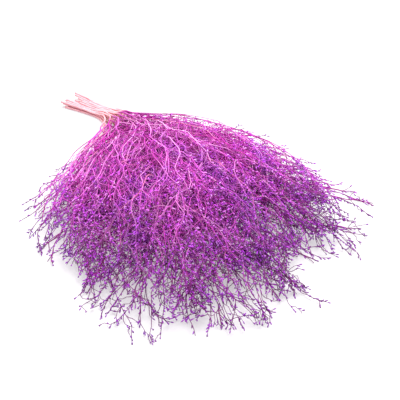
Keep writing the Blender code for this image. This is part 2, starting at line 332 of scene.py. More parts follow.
@dataclass(frozen=True)
class Bundle:
    """The main stems, pinched together at the waist in rows and columns, and fanned out past it."""

    rows: int = 3  # from the surface upwards
    columns: int = 8  # from the left side of the fan to the right
    row_shifts: Numbers = (-0.25, 0.25, -0.25)  # in columns
    pitch: float = 2.6 * MM
    radius: float = 1.5 * MM
    tip_radius: float = 0.65 * MM
    taper: float = 0.8
    heading: float = 34.0
    bare_length: float = 48 * MM
    bare_unevenness: float = 13 * MM
    cut_end_spread: float = 1.45  # how much wider the cut ends stand than the waist
    stem_headings: Pair = (-35.0, 41.0)  # of the first and the last column
    heading_jitter: float = 1.5
    fan_shifts: Numbers = (0.25, -0.25, 0.0)  # of each row past the waist, in columns
    row_reach: Numbers = (1.0, 0.92, 0.76)  # shares of the outline's
    shortest_reach: float = 0.96
    early_share: float = 0.16  # of its reach, from the waist to the early control point
    late_share: float = 0.4  # from the late control point to the tip
    tip_splay: float = 1.12  # how much further to the side than its heading it runs at its tip
    # Each row's height at the early and the late control point and at the tip
    row_heights: tuple[Numbers, ...] = (
        (3 * MM, 5 * MM, 1.5 * MM),
        (9 * MM, 40 * MM, 12 * MM),
        (22 * MM, 88 * MM, 38 * MM),
    )
    edge_sink: float = 0.7  # share of those heights that the outermost stems lose
    joints: Numbers = (0.07, 0.15, 0.26, 0.37, 0.48, 0.58, 0.67, 0.76, 0.85, 0.93, 1.0)
    zigzag: float = 3.0 * MM
    least_zigzag: float = 0.6  # share of it that each joint has at least
    full_zigzag_share: float = 0.35  # of the curve, from where it is full

    def controls(
        self, mound: Mound, row: int, column: int, rng: Draws
    ) -> tuple[Array, tuple[Array, ...], float]:
        """Where the stem at a place in the bundle runs.

        Args:
            mound: The outline that it reaches to.
            row: Its row.
            column: Its column.
            rng: The growth's draws.

        Returns:
            Its cut end, the four control points of its curve from the waist to its tip, and its
            heading.
        """
        waist_point = np.array(mound.waist)
        place = column - (self.columns - 1) / 2 + self.row_shifts[row]
        side = along(self.heading + 90.0) * place * self.pitch
        flat = self.radius / math.sqrt(2)
        rest_height = flat + row * self.pitch
        waist = waist_point + side + UP * rest_height
        bare = self.bare_length + rng.uniform(-1, 1) * self.bare_unevenness
        cut_end = waist + side * (self.cut_end_spread - 1) - along(self.heading) * bare

        fan_share = (column + 0.5 + self.fan_shifts[row]) / self.columns
        heading = mix(*self.stem_headings, fan_share) + rng.uniform(-1, 1) * self.heading_jitter
        reach = mound.reach_at(heading) * self.row_reach[row] * rng.uniform(self.shortest_reach, 1.0)
        sink = 1 - self.edge_sink * (2 * fan_share - 1) ** 2
        early_height, late_height, tip_height = np.array(self.row_heights[row]) * sink
        early = waist * (1, 1, 0) + along(self.heading) * reach * self.early_share
        tip = waist_point + along(heading) * reach
        late = tip - along(heading * self.tip_splay) * reach * self.late_share
        early = early + UP * max(early_height, rest_height)
        late = late + UP * max(late_height, flat)
        return cut_end, (waist, early, late, tip + UP * tip_height), heading

    def stem(self, mound: Mound, row: int, column: int, rng: Draws) -> Branch:
        """The main stem of one spray, which turns a little to alternate sides at its joints.

        Its curve is a cubic Bezier from the waist, with the cut end's straight stretch before it.

        Args:
            mound: The outline that it reaches to.
            row: Its row in the bundle.
            column: Its column.
            rng: The growth's draws.

        Returns:
            The stem, from its cut end to its tip.
        """
        cut_end, (waist, early, late, tip), heading = self.controls(mound, row, column, rng)
        joints = np.array(self.joints)
        t = joints[:, None]
        path = (1 - t) ** 3 * waist + 3 * t * (1 - t) ** 2 * early
        path += 3 * t**2 * (1 - t) * late + t**3 * tip
        turns = np.where(np.arange(len(path)) % 2, 1.0, -1.0) * rng.choice((-1, 1))
        swing = self.zigzag * np.minimum(joints / self.full_zigzag_share, 1) ** 2 * (joints < 1)
        swing *= turns * rng.uniform(self.least_zigzag, 1.0, len(path))
        path += along(heading + 90.0) * swing[:, None]
        points = np.concatenate([[cut_end, waist], path])
        taper = mix(self.radius, self.tip_radius, joints**self.taper)
        radii = np.concatenate([[self.radius, self.radius], taper])
        points[:, 2] = np.maximum(points[:, 2], radii / math.sqrt(2))
        return Branch(row * self.columns + column, *with_floret(points, radii), sides=4)


def with_floret(points: Array, radii: Array) -> tuple[Array, Array]:
    """A path whose last stretch is widened into a floret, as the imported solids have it.

    Args:
        points: The path.
        radii: Its radius at each point.

    Returns:
        The path and radii with the floret's neck put in before the tip.
    """
    last = unit(points[-1] - points[-2])
    neck = points[-1] - last * SOLID_FLORET_LENGTH
    points = np.concatenate([points[:-1], [neck, points[-1]]])
    radii = np.concatenate([radii[:-1], [radii[-1], SOLID_FLORET_RADIUS]])
    return points, radii


def segment_gaps(starts: Array, ends: Array, other_starts: Array, other_ends: Array) -> Array:
    """The least distance between each of some segments and each of some others.

    The nearest points of two lines are worked out, held to the segments, and worked out again.

    Args:
        starts: Where the segments start.
        ends: Where they end.
        other_starts: Where the others start.
        other_ends: Where the others end.

    Returns:
        The distances, a row for each segment and a column for each of the others.
    """
    first = (ends - starts)[:, None]
    second = (other_ends - other_starts)[None]
    between = starts[:, None] - other_starts[None]
    first_sq = (first * first).sum(-1)
    second_sq = (second * second).sum(-1)
    cross = (first * second).sum(-1)
    first_off = (first * between).sum(-1)
    second_off = (second * between).sum(-1)
    spread = np.maximum(first_sq * second_sq - cross * cross, PARALLEL)
    s = np.clip((cross * second_off - first_off * second_sq) / spread, 0, 1)
    t = np.clip((cross * s + second_off) / second_sq, 0, 1)
    s = np.clip((cross * t - first_off) / first_sq, 0, 1)
    gap = between + first * s[..., None] - second * t[..., None]
    return np.sqrt((gap * gap).sum(-1))


@dataclass(eq=False)
class Thicket:
    """Every branch grown so far, as segments that a new branch has to clear."""

    clearance: float  # the least gap between two surfaces
    starts: Array = field(default_factory=lambda: np.empty((0, 3)))
    ends: Array = field(default_factory=lambda: np.empty((0, 3)))
    radii: Array = field(default_factory=lambda: np.empty(0))
    owners: Array = field(default_factory=lambda: np.empty(0, int))

    def add(self, branch: Branch) -> None:
        """Takes in a branch that has found its place.

        Args:
            branch: The branch.
        """
        count = len(branch.points) - 1
        self.starts = np.concatenate([self.starts, branch.points[:-1]])
        self.ends = np.concatenate([self.ends, branch.points[1:]])
        self.radii = np.concatenate([self.radii, np.maximum(branch.radii[:-1], branch.radii[1:])])
        self.owners = np.concatenate([self.owners, np.full(count, id(branch))])

    def clears(self, branch: Branch) -> bool:
        """Whether a branch keeps its distance to every branch but its parent.

        Args:
            branch: The branch that looks for a place.

        Returns:
            True where it clears them all.
        """
        others = self.owners != id(branch.parent)
        gaps = segment_gaps(
            branch.points[:-1], branch.points[1:], self.starts[others], self.ends[others]
        )
        radii = np.maximum(branch.radii[:-1], branch.radii[1:])
        return bool((gaps - radii[:, None] - self.radii[others] > self.clearance).all())


Fork = tuple[Branch, float, Array]  # a parent, the distance along it, and the side it opens to


@dataclass(frozen=True)
class Growth:
    """The growth of the whole bunch, order by order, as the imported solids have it."""

    mound: Mound = field(default_factory=Mound)
    bundle: Bundle = field(default_factory=Bundle)
    first_fork_joint: int = 4
    fork_past_joint: float = 1.5 * MM
    first_fork: float = 0.75  # of a side branch's fork spacing
    least_rise: float = 0.5 * MM
    roll: float = 35.0  # the most that a side branch turns round its parent
    length_spread: Pair = (0.8, 1.15)
    lean: float = 0.2  # toward the outline, more with each segment
    rise_or_droop: Pair = (-0.25, 0.1)
    zigzag: float = 0.14
    side_rise: float = 0.25  # of a direction to the side
    last_shrink: float = 0.5  # of a branch's length, by its last try
    clearance: float = 0.4 * MM
    resting_share: float = 0.5  # of its radius, the least height of a branch's middle
    sunk_shares: Numbers = (0.45, 0.65)  # of a three-sided and a four-sided parent

    def sideways(self, way: Array, side: Array | float) -> Array:
        """A direction square to a way and a little raised, to its right, or its left for -1."""
        level = unit(np.cross(way, UP))
        return unit(side * level + self.side_rise * np.cross(level, way))

    def side_branch(self, order: Order, fork: Fork, rng: Draws, shrink: float) -> Branch:
        """A branch that leaves its parent at a fork and leans toward the outline.

        Args:
            order: The order it belongs to.
            fork: Where it grows from.
            rng: The growth's draws.
            shrink: The share of its length that it gets.

        Returns:
            The branch, with its floret.
        """
        parent, distance, outward = fork
        root, parent_way, parent_radius = parent.at(distance)
        left = parent.distances()[-1] - distance
        length = (order.least_length + order.length_share * left) * shrink
        length *= rng.uniform(*self.length_spread)
        roll = math.radians(rng.uniform(-self.roll, self.roll))
        outward = math.cos(roll) * outward + math.sin(roll) * np.cross(parent_way, outward)
        angle = math.radians(rng.uniform(*order.angles))
        way = math.cos(angle) * parent_way + math.sin(angle) * outward
        heading, _ = self.mound.place(root)
        lean = along(heading) + UP * rng.uniform(*self.rise_or_droop)
        count = max(1, round(length / order.longest_segment))
        points = [root]
        for index in range(count):
            way = unit(way + self.lean * lean)
            zigzag = outward * (self.zigzag if index % 2 else -self.zigzag) * (count > 1)
            points.append(points[-1] + unit(way + zigzag) * length / count)
        points = np.array(points)
        radii = np.linspace(order.root_radius, order.tip_radius, count + 1)
        radii[0] = min(order.root_radius, parent_radius * self.sunk_shares[parent.sides - 3])
        points[1:, 2] = np.maximum(points[1:, 2], radii[1:] * self.resting_share)
        path, path_radii = with_floret(points, radii)
        return Branch(parent.spray, path, path_radii, parent=parent, root=distance)

    def grow_order(
        self, order: Order, forks: Iterator[Fork], thicket: Thicket, rng: Draws
    ) -> list[Branch]:
        """One branch at each fork, tried until it clears the rest of the bunch.

        Args:
            order: The order of the branches.
            forks: Where they grow from.
            thicket: The branches to clear.
            rng: The growth's draws.

        Returns:
            The branches that found a place.
        """
        grown = []
        for fork in forks:
            for attempt in range(order.tries):
                shrink = 1 - self.last_shrink * attempt / order.tries
                branch = self.side_branch(order, fork, rng, shrink)
                if self.mound.holds(branch.points[1:]).all() and thicket.clears(branch):
                    thicket.add(branch)
                    grown.append(branch)
                    break
        return grown

    def stem_forks(self, stems: list[Branch]) -> Iterator[Fork]:
        """A fork just past each joint of the fanned part of a stem, outside its turn.

        Args:
            stems: The main stems.

        Returns:
            The forks, stem by stem.
        """
        for branch in stems:
            marks = branch.distances()
            for joint in range(self.first_fork_joint, len(marks) - 2):
                before, here, after = branch.points[joint - 1 : joint + 2]
                outward = unit(here - (before + after) / 2 + self.least_rise * UP)
                yield branch, marks[joint] + self.fork_past_joint, outward

    def side_forks(self, branches: list[Branch], spacing: float) -> Iterator[Fork]:
        """Forks spread evenly along side branches, to one side and then to the other.

        Args:
            branches: The branches that fork.
            spacing: The distance between two forks.

        Returns:
            The forks, branch by branch.
        """
        for branch in branches:
            length = branch.distances()[-2]
            count = int(length / spacing)
            shares = (np.arange(count) + self.first_fork) / (count + 1 - self.first_fork)
            for index, distance in enumerate(shares * length):
                _, way, _ = branch.at(distance)
                yield branch, distance, self.sideways(way, 1 if index % 2 else -1)

    def grow(self) -> list[list[Branch]]:
        """Every branch of every spray.

        Returns:
            Four lists: the stems, then the three orders of side branches.
        """
        rng = np.random.default_rng(GROWTH_SEED)
        rows, columns = self.bundle.rows, self.bundle.columns
        places = [(row, column) for row in range(rows) for column in range(columns)]
        stems = [self.bundle.stem(self.mound, row, column, rng) for row, column in places]
        thicket = Thicket(self.clearance)
        for branch in stems:
            thicket.add(branch)
        levels = [stems]
        forks = self.stem_forks(stems)
        for kind in SideBranch:
            grown = self.grow_order(kind.value, forks, thicket, rng)
            levels.append(grown)
            forks = self.side_forks(grown, kind.value.fork_spacing)
        return levels


def rounded(branch: Branch, count: int, rounding: float) -> tuple[Array, Array]:
    """Even points along a branch up to its floret, with its corners rounded.

    Between two points lies the cubic Hermite curve, with slopes from the neighbours on both
    sides, mixed with the straight line.

    Args:
        branch: The branch.
        count: How many points to give.
        rounding: The curve's share in the mix.

    Returns:
        The points, and the branch's radius at each.
    """
    knots, marks = branch.points[:-1], branch.distances()[:-1]
    slopes = np.gradient(knots, marks, axis=0)
    distance = np.linspace(0, marks[-1], count)
    index = np.clip(np.searchsorted(marks, distance, side="right") - 1, 0, len(marks) - 2)
    span = (marks[index + 1] - marks[index])[:, None]
    u = (distance - marks[index])[:, None] / span
    start, end = knots[index], knots[index + 1]
    curve = (2 * u**3 - 3 * u**2 + 1) * start + (3 * u**2 - 2 * u**3) * end
    curve += ((u**3 - 2 * u**2 + u) * slopes[index] + (u**3 - u**2) * slopes[index + 1]) * span
    radii = np.interp(distance, marks, branch.radii[:-1])
    return mix(mix(start, end, u), curve, rounding), radii


def smoothed(path: Array, reach: int) -> Array:
    """A path with each point at the mean of itself and its neighbours; its two ends stay.

    Args:
        path: The points.
        reach: How many neighbours before and after, and fewer near the ends.

    Returns:
        The smoothed points.
    """
    count = len(path)
    apart = np.abs(np.arange(count)[:, None] - np.arange(count)[None])
    to_end = np.minimum(np.arange(count), np.arange(count)[::-1])[:, None]
    near = (apart <= np.minimum(reach, to_end)).astype(float)
    return near / near.sum(axis=1, keepdims=True) @ path


def listed(counts: Array) -> tuple[Array, Array]:
    """The row of each item and its number in its row, where each row has its own count of items."""
    return np.nonzero(np.arange(counts.max(initial=0))[None] < counts[:, None])


@dataclass(eq=False)
class Twigs:
    """A batch of twigs, each with the same number of points, spaced evenly from root to tip."""

    points: Array  # twigs, points, 3
    radii: Array  # twigs, points
    sprays: Array  # the spray of each
    sides: int = 3

    def __len__(self) -> int:
        """How many twigs there are."""
        return len(self.points)

    def steps(self) -> Array:
        """The distance from each point to the next."""
        return np.linalg.norm(np.diff(self.points, axis=1), axis=2)

    def lengths(self) -> Array:
        """How long each twig is."""
        return self.steps().sum(axis=1)

    def distances(self) -> Array:
        """How far along its twig each point is."""
        return np.pad(np.cumsum(self.steps(), axis=1), ((0, 0), (1, 0)))

    def ways(self) -> Array:
        """The way that a twig runs at each point, from the point before to the point after."""
        return unit(np.gradient(self.points, axis=1))

    def level_sides(self) -> Array:
        """A level direction square to each twig's chord."""
        return level_side(unit(self.points[:, -1] - self.points[:, 0]))

    def at(self, rows: Array, shares: Array) -> tuple[Array, Array, Array]:
        """Places on the twigs.

        Args:
            rows: The twig of each place.
            shares: How far along its twig it is, 0 to 1.

        Returns:
            The points, the ways that the twigs run there, and the radii.
        """
        last = self.points.shape[1] - 1
        index = np.clip((shares * last).astype(int), 0, last - 1)
        part = shares * last - index
        start, end = self.points[rows, index], self.points[rows, index + 1]
        radii = mix(self.radii[rows, index], self.radii[rows, index + 1], part)
        return mix(start, end, part[:, None]), unit(end - start), radii

    def only(self, kept: Array) -> "Twigs":
        """The twigs that a mask or a list of rows picks."""
        return Twigs(self.points[kept], self.radii[kept], self.sprays[kept], self.sides)

    def cut_back(self, ends: Array) -> "Twigs":
        """The twigs from their roots up to new ends, with as many points as before.

        Args:
            ends: Where each one ends, as a share of its length.

        Returns:
            What is left of them.
        """
        twigs, count = self.radii.shape
        shares = ends[:, None] * np.linspace(0, 1, count)[None]
        points, _, radii = self.at(np.repeat(np.arange(twigs), count), shares.ravel())
        points, radii = points.reshape(self.points.shape), radii.reshape(twigs, count)
        return Twigs(points, radii, self.sprays, self.sides)

    def seat(self, carriers: "Twigs", rows: Array, shares: Array) -> None:
        """Moves each root onto the twig that carries it, by an offset that fades out at its tip.

        Args:
            carriers: The twigs that carry these.
            rows: The carrier of each.
            shares: Where on its carrier each one's root is.
        """
        places, _, _ = carriers.at(rows, shares)
        fade = np.linspace(1, 0, self.points.shape[1])[None, :, None]
        self.points += (places - self.points[:, 0])[:, None] * fade

    def rest(self) -> None:
        """Keeps the twigs' middles a radius or more above the surface."""
        self.points[..., 2] = np.maximum(self.points[..., 2], self.radii)

    def waver(self, amplitude: float, wave: float, rng: Draws) -> None:
        """Bends the twigs out of true: two sine waves across each, faded in from its root.

        Args:
            amplitude: The longer wave's; the shorter one's is half of it.
            wave: The longer wave's length; the shorter one's is half of it.
            rng: The draws of the waves' phases.
        """
        level = self.level_sides()[:, None]
        rise = np.cross(level, self.ways())
        distance = self.distances()
        fade = np.minimum(distance / wave, 1)[..., None]
        for fold in (1, 2):
            for side in (level, rise):
                phase = rng.uniform(0, math.tau, (len(self), 1))
                swing = amplitude / fold * np.sin(math.tau * fold * distance / wave + phase)
                self.points += side * swing[..., None] * fade


@dataclass(frozen=True)
class Section:
    """How one level of the grown branches is drawn."""

    points: int
    sides: int
    radii: Pair  # at the root and at the tip; a stem's are shares of its solid's
    waver: float
    wave: float
    rounding: float = 0.9  # of its corners
    smoothing: int = 0  # points before and after that each one is brought to the mean of


@dataclass(frozen=True)
class Patches:
    """Soft patches over the bunch: level sine waves that cross each other."""

    waves: int = 9
    lengths: Pair = (30 * MM, 80 * MM)
    seed: int = 3612

    def at(self, points: Array) -> Array:
        """The strength of the patches at some points.

        Args:
            points: The points, along the last axis.

        Returns:
            The strengths, 0 to 1.
        """
        rng = np.random.default_rng(self.seed)
        ways = along(rng.uniform(0, 360, self.waves)) / rng.uniform(*self.lengths, (self.waves, 1))
        phases = math.tau * (points @ ways.T + rng.uniform(0, 1, self.waves))
        return eased(np.sin(phases).sum(axis=-1) / math.sqrt(self.waves), -1.0, 1.0)


@dataclass(frozen=True)
class Habit:
    """How the fine twigs of one kind sprout from the twigs that carry them."""

    shares: Pair  # the stretch of its carrier that it may sprout from
    spacing: float
    angles: Pair  # from the carrier
    roll: float  # the most that it turns round its carrier from its own side
    lengths: Pair
    length_share: float  # more length, as a share of what is left of the carrier
    radii: Pair  # at its root and at its tip
    points: int
    bend: float  # how much it turns toward the outline by its tip
    rise_or_droop: Pair  # of that turn
    kinks: Pair  # to alternate sides
    curl: float  # the most that it has turned to either side by its tip
    inward: float  # how much more it turns toward the fan's middle, at its left edge
    waver: float
    wave: float
    least_kept: float = 0.35  # share of its length that must be inside the mound
    # At each of these headings, the chance that a twig is kept, and how far out it may reach as a
    # share of the way to the outline
    headings: Numbers = (-46, -39, -32, -24, -17, -9, -3, 4, 11, 17, 24, 30, 36, 41, 44)
    chances: Numbers = (
        0.0, 1.0, 0.7, 0.45, 0.95, 0.95, 1.0, 0.9, 1.0, 0.6, 1.0, 0.75, 0.3, 0.0, 0.0,
    )
    edges: Numbers = (
        0.97, 1.09, 1.03, 0.95, 1.12, 1.07, 1.18, 1.17, 1.2, 0.98, 1.06, 1.1, 0.95, 0.8, 0.0,
    )
    raggedness: float = 0.3  # the most that a twig stays short of its edge; few stay that short
    patches: Patches = field(default_factory=Patches)
    patchiness: float = 0.7  # share of twigs that miss outside the patches, near the outline
    patchy: Pair = (0.6, 0.85)  # where that sets in, and where it is full
    pressed: Pair = (0.6, 1.02)  # how high it may rise, as a share of the ceiling
    flank_margin: float = 9.0  # how far past the flank it has to stay beside the neck

    def sprout(self, carriers: Twigs, growth: Growth, corners: Array, rng: Draws) -> Twigs:
        """The fine twigs on some carriers, to alternate sides, kept to the mound.

        A twig's way is its own start way, plus a lean toward the outline that grows to its tip,
        plus a kink to alternate sides, turned evenly more to one side by its own curl; the steps
        along it are added up from its root.

        Args:
            carriers: The twigs that they sprout from.
            growth: The bunch's growth, for its mound.
            corners: The lowest and the highest corner that they may reach.
            rng: The draws of the fine twigs.

        Returns:
            The twigs.
        """
        first, last = self.shares
        lengths = carriers.lengths()
        stretch = last - first
        counts = (stretch * lengths / self.spacing + rng.uniform(0, 1, len(carriers))).astype(int)
        rows, order = listed(counts)
        count = len(rows)
        shares = first + stretch * (order + rng.uniform(0, 1, count)) / counts[rows]
        roots, carrier_ways, carrier_radii = carriers.at(rows, shares)

        outward = growth.sideways(carrier_ways, np.where(order % 2, 1.0, -1.0)[:, None])
        roll = np.radians(rng.uniform(-self.roll, self.roll, (count, 1)))
        outward = swung(outward, np.cross(carrier_ways, outward), roll)
        angle = np.radians(rng.uniform(*self.angles, (count, 1)))
        start_way = swung(carrier_ways, outward, angle)
        heading, _ = growth.mound.place(roots)
        lean = along(heading) + UP * rng.uniform(*self.rise_or_droop, (count, 1))

        steps = np.arange(self.points - 1)
        bend = self.bend * (steps / (self.points - 1))[None, :, None]
        kinks = np.where(steps % 2, 1.0, -1.0)[None, :, None] * rng.uniform(*self.kinks, (count, 1, 1))
        ways = unit(start_way[:, None] + bend * lean[:, None] + kinks * outward[:, None])
        turn = rng.uniform(-self.curl, self.curl, (count, 1))
        turn += self.inward * np.maximum(heading[:, None] / self.headings[0], 0)
        ways = turned(ways, turn * steps / (self.points - 1))
        length = rng.uniform(*self.lengths, count) + self.length_share * (1 - shares) * lengths[rows]
        stretches = ways * (length / (self.points - 1))[:, None, None]
        path = roots[:, None] + np.pad(np.cumsum(stretches, axis=1), ((0, 0), (1, 0), (0, 0)))
        radii = np.minimum(np.linspace(*self.radii, self.points)[None], carrier_radii[:, None])
        twigs = Twigs(path, radii, carriers.sprays[rows])
        twigs.waver(self.waver, self.wave, rng)
        self.press(twigs, growth.mound, corners[1, 2], rng)
        twigs.rest()
        return self.trimmed(twigs, growth.mound, corners, rng)

    def trimmed(self, twigs: Twigs, mound: Mound, corners: Array, rng: Draws) -> Twigs:
        """Twigs cut back to the mound's ragged edge, less those left short and those thinned out.

        Args:
            twigs: The twigs.
            mound: The mound.
            corners: The lowest and the highest corner that they may reach.
            rng: The draws of the fine twigs.

        Returns:
            The twigs that stay.
        """
        points = twigs.points[:, 1:]
        heading, distance = mound.place(points)
        edge = np.interp(heading, self.headings, self.edges)
        edge -= self.raggedness * rng.uniform(0, 1, (len(twigs), 1)) ** 3
        margin = self.flank_margin * (1 - distance / mound.flank_distances[-1])
        inside = mound.past_flank(points) >= np.maximum(margin, 0)
        inside &= mound.share(points) < edge
        inside &= ((points > corners[0]) & (points < corners[1])).all(axis=2)
        inside_until = np.argmin(np.pad(inside, ((0, 0), (0, 1))), axis=1) / (self.points - 1)
        chance = np.interp(heading[:, -1], self.headings, self.chances)
        bare = (1 - self.patches.at(points[:, -1])) * self.patchiness
        chance *= 1 - bare * eased(mound.share(points[:, -1]), *self.patchy)
        kept = (inside_until >= self.least_kept) & (rng.uniform(0, 1, len(twigs)) < chance)
        return twigs.only(kept).cut_back(inside_until[kept])

    def press(self, twigs: Twigs, mound: Mound, top: float, rng: Draws) -> None:
        """Presses twigs down under the mound's ceiling, less so near their roots.

        Args:
            twigs: The twigs.
            mound: The mound.
            top: The greatest height of all.
            rng: The draws of the fine twigs.
        """
        ceiling = mound.ceiling(twigs.points) * rng.uniform(*self.pressed, (len(twigs), 1))
        from_root = twigs.points[:, :1, 2] * np.linspace(1, 0, self.points)
        twigs.points[..., 2] = np.minimum(twigs.points[..., 2], np.maximum(ceiling, from_root))
        twigs.points[..., 2] = np.minimum(twigs.points[..., 2], top - twigs.radii)


@dataclass(eq=False)
class FloretBatch:
    """Where florets sit: for each its foot, way, side, sizes, openness, tone and way out."""

    feet: Array
    ways: Array
    sides: Array
    lengths: Array
    radii: Array
    openness: Array
    tones: Array
    out: Array
    sprays: Array

    def only(self, kept: Array) -> "FloretBatch":
        """The florets that a mask picks."""
        return FloretBatch(*(getattr(self, name)[kept] for name in self.__dataclass_fields__))

    @classmethod
    def together(cls, batches: list["FloretBatch"]) -> "FloretBatch":
        """Several batches as one."""
        names = cls.__dataclass_fields__
        return cls(*(np.concatenate([getattr(batch, name) for batch in batches]) for name in names))


@dataclass(frozen=True)
class FloretHabit:
    """How florets sit in one-sided rows toward the ends of twigs, and how big one is."""

    length: float = 4.8 * MM
    radius: float = 0.78 * MM
    evenness: float = 0.5  # how far a radius is from the floret's own size toward the usual one
    size_spread: Pair = (0.7, 1.15)
    spacing: float = 3.3 * MM
    unevenness: float = 0.5  # of the spacing
    first_share: float = 0.5  # of a twig
    angles: Pair = (15.0, 50.0)
    side_spread: float = 0.5  # of the row's side round its twig, in radians
    sunk: float = 0.5  # of the twig's radius
    open_share: float = 0.4
    lobes: int = 5
    closed_lobes: int = 3  # of the shut ones, which are no more than small buds
    shut: float = 0.1  # the openness below which a floret is drawn shut
    bare_until: float = 0.45  # share of the way to the outline with no florets but in patches
    full_from: float = 0.9
    inner_share: float = 0.18  # of the florets in a patch there
    outer_share: float = 0.5  # of the florets outside the patches, near the outline
    patches: Patches = Patches(lengths=(18 * MM, 52 * MM))

    def borne(self, feet: Array, mound: Mound) -> Array:
        """The chance of a floret at each foot.

        Args:
            feet: Where the florets would sit.
            mound: The mound.

        Returns:
            The chances, from the feet's shares of the way and the squared strength of the patches.
        """
        patch = self.patches.at(feet) ** 2
        outer = mix(self.outer_share, 1.0, patch)
        outward = eased(mound.share(feet), self.bare_until, self.full_from)
        return mix(self.inner_share * patch, outer, outward)

    def place(self, twigs: Twigs, mound: Mound, rng: Draws) -> FloretBatch:
        """A floret at the tip of each twig, and a row of them before it, on one side.

        Args:
            twigs: The twigs that bear florets.
            mound: The mound.
            rng: The draws of the fine pieces.

        Returns:
            The florets.
        """
        lengths = twigs.lengths()
        counts = ((1 - self.first_share) * lengths / self.spacing).astype(int) + 1
        rows, order = listed(counts)
        count = len(rows)
        offsets = np.maximum(order - rng.uniform(0, self.unevenness, count) * (order > 0), 0)
        feet, ways, radii = twigs.at(rows, np.clip(1 - offsets * self.spacing / lengths[rows], 0, 1))

        turn = rng.uniform(0, math.tau, (len(twigs), 1))[rows]
        turn = turn + rng.normal(0, self.side_spread, (count, 1))
        level = level_side(ways)
        outward = swung(level, np.cross(level, ways), turn)
        angle = np.radians(rng.uniform(*self.angles, (count, 1))) * (order > 0)[:, None]
        floret_ways = unit(swung(ways, outward, angle))
        spin = rng.uniform(0, math.tau, (count, 1))
        level = level_side(floret_ways)
        size = rng.uniform(*self.size_spread, count)
        batch = FloretBatch(
            feet=feet - floret_ways * radii[:, None] * self.sunk,
            ways=floret_ways,
            sides=swung(level, np.cross(floret_ways, level), spin),
            lengths=self.length * size,
            radii=self.radius * mix(size, 1.0, self.evenness),
            openness=eased(rng.uniform(0, 1, count), 1 - self.open_share, 1.0),
            tones=rng.uniform(0, 1, count),
            out=mound.out(feet),
            sprays=twigs.sprays[rows],
        )
        return batch.only(rng.uniform(0, 1, count) < self.borne(feet, mound))


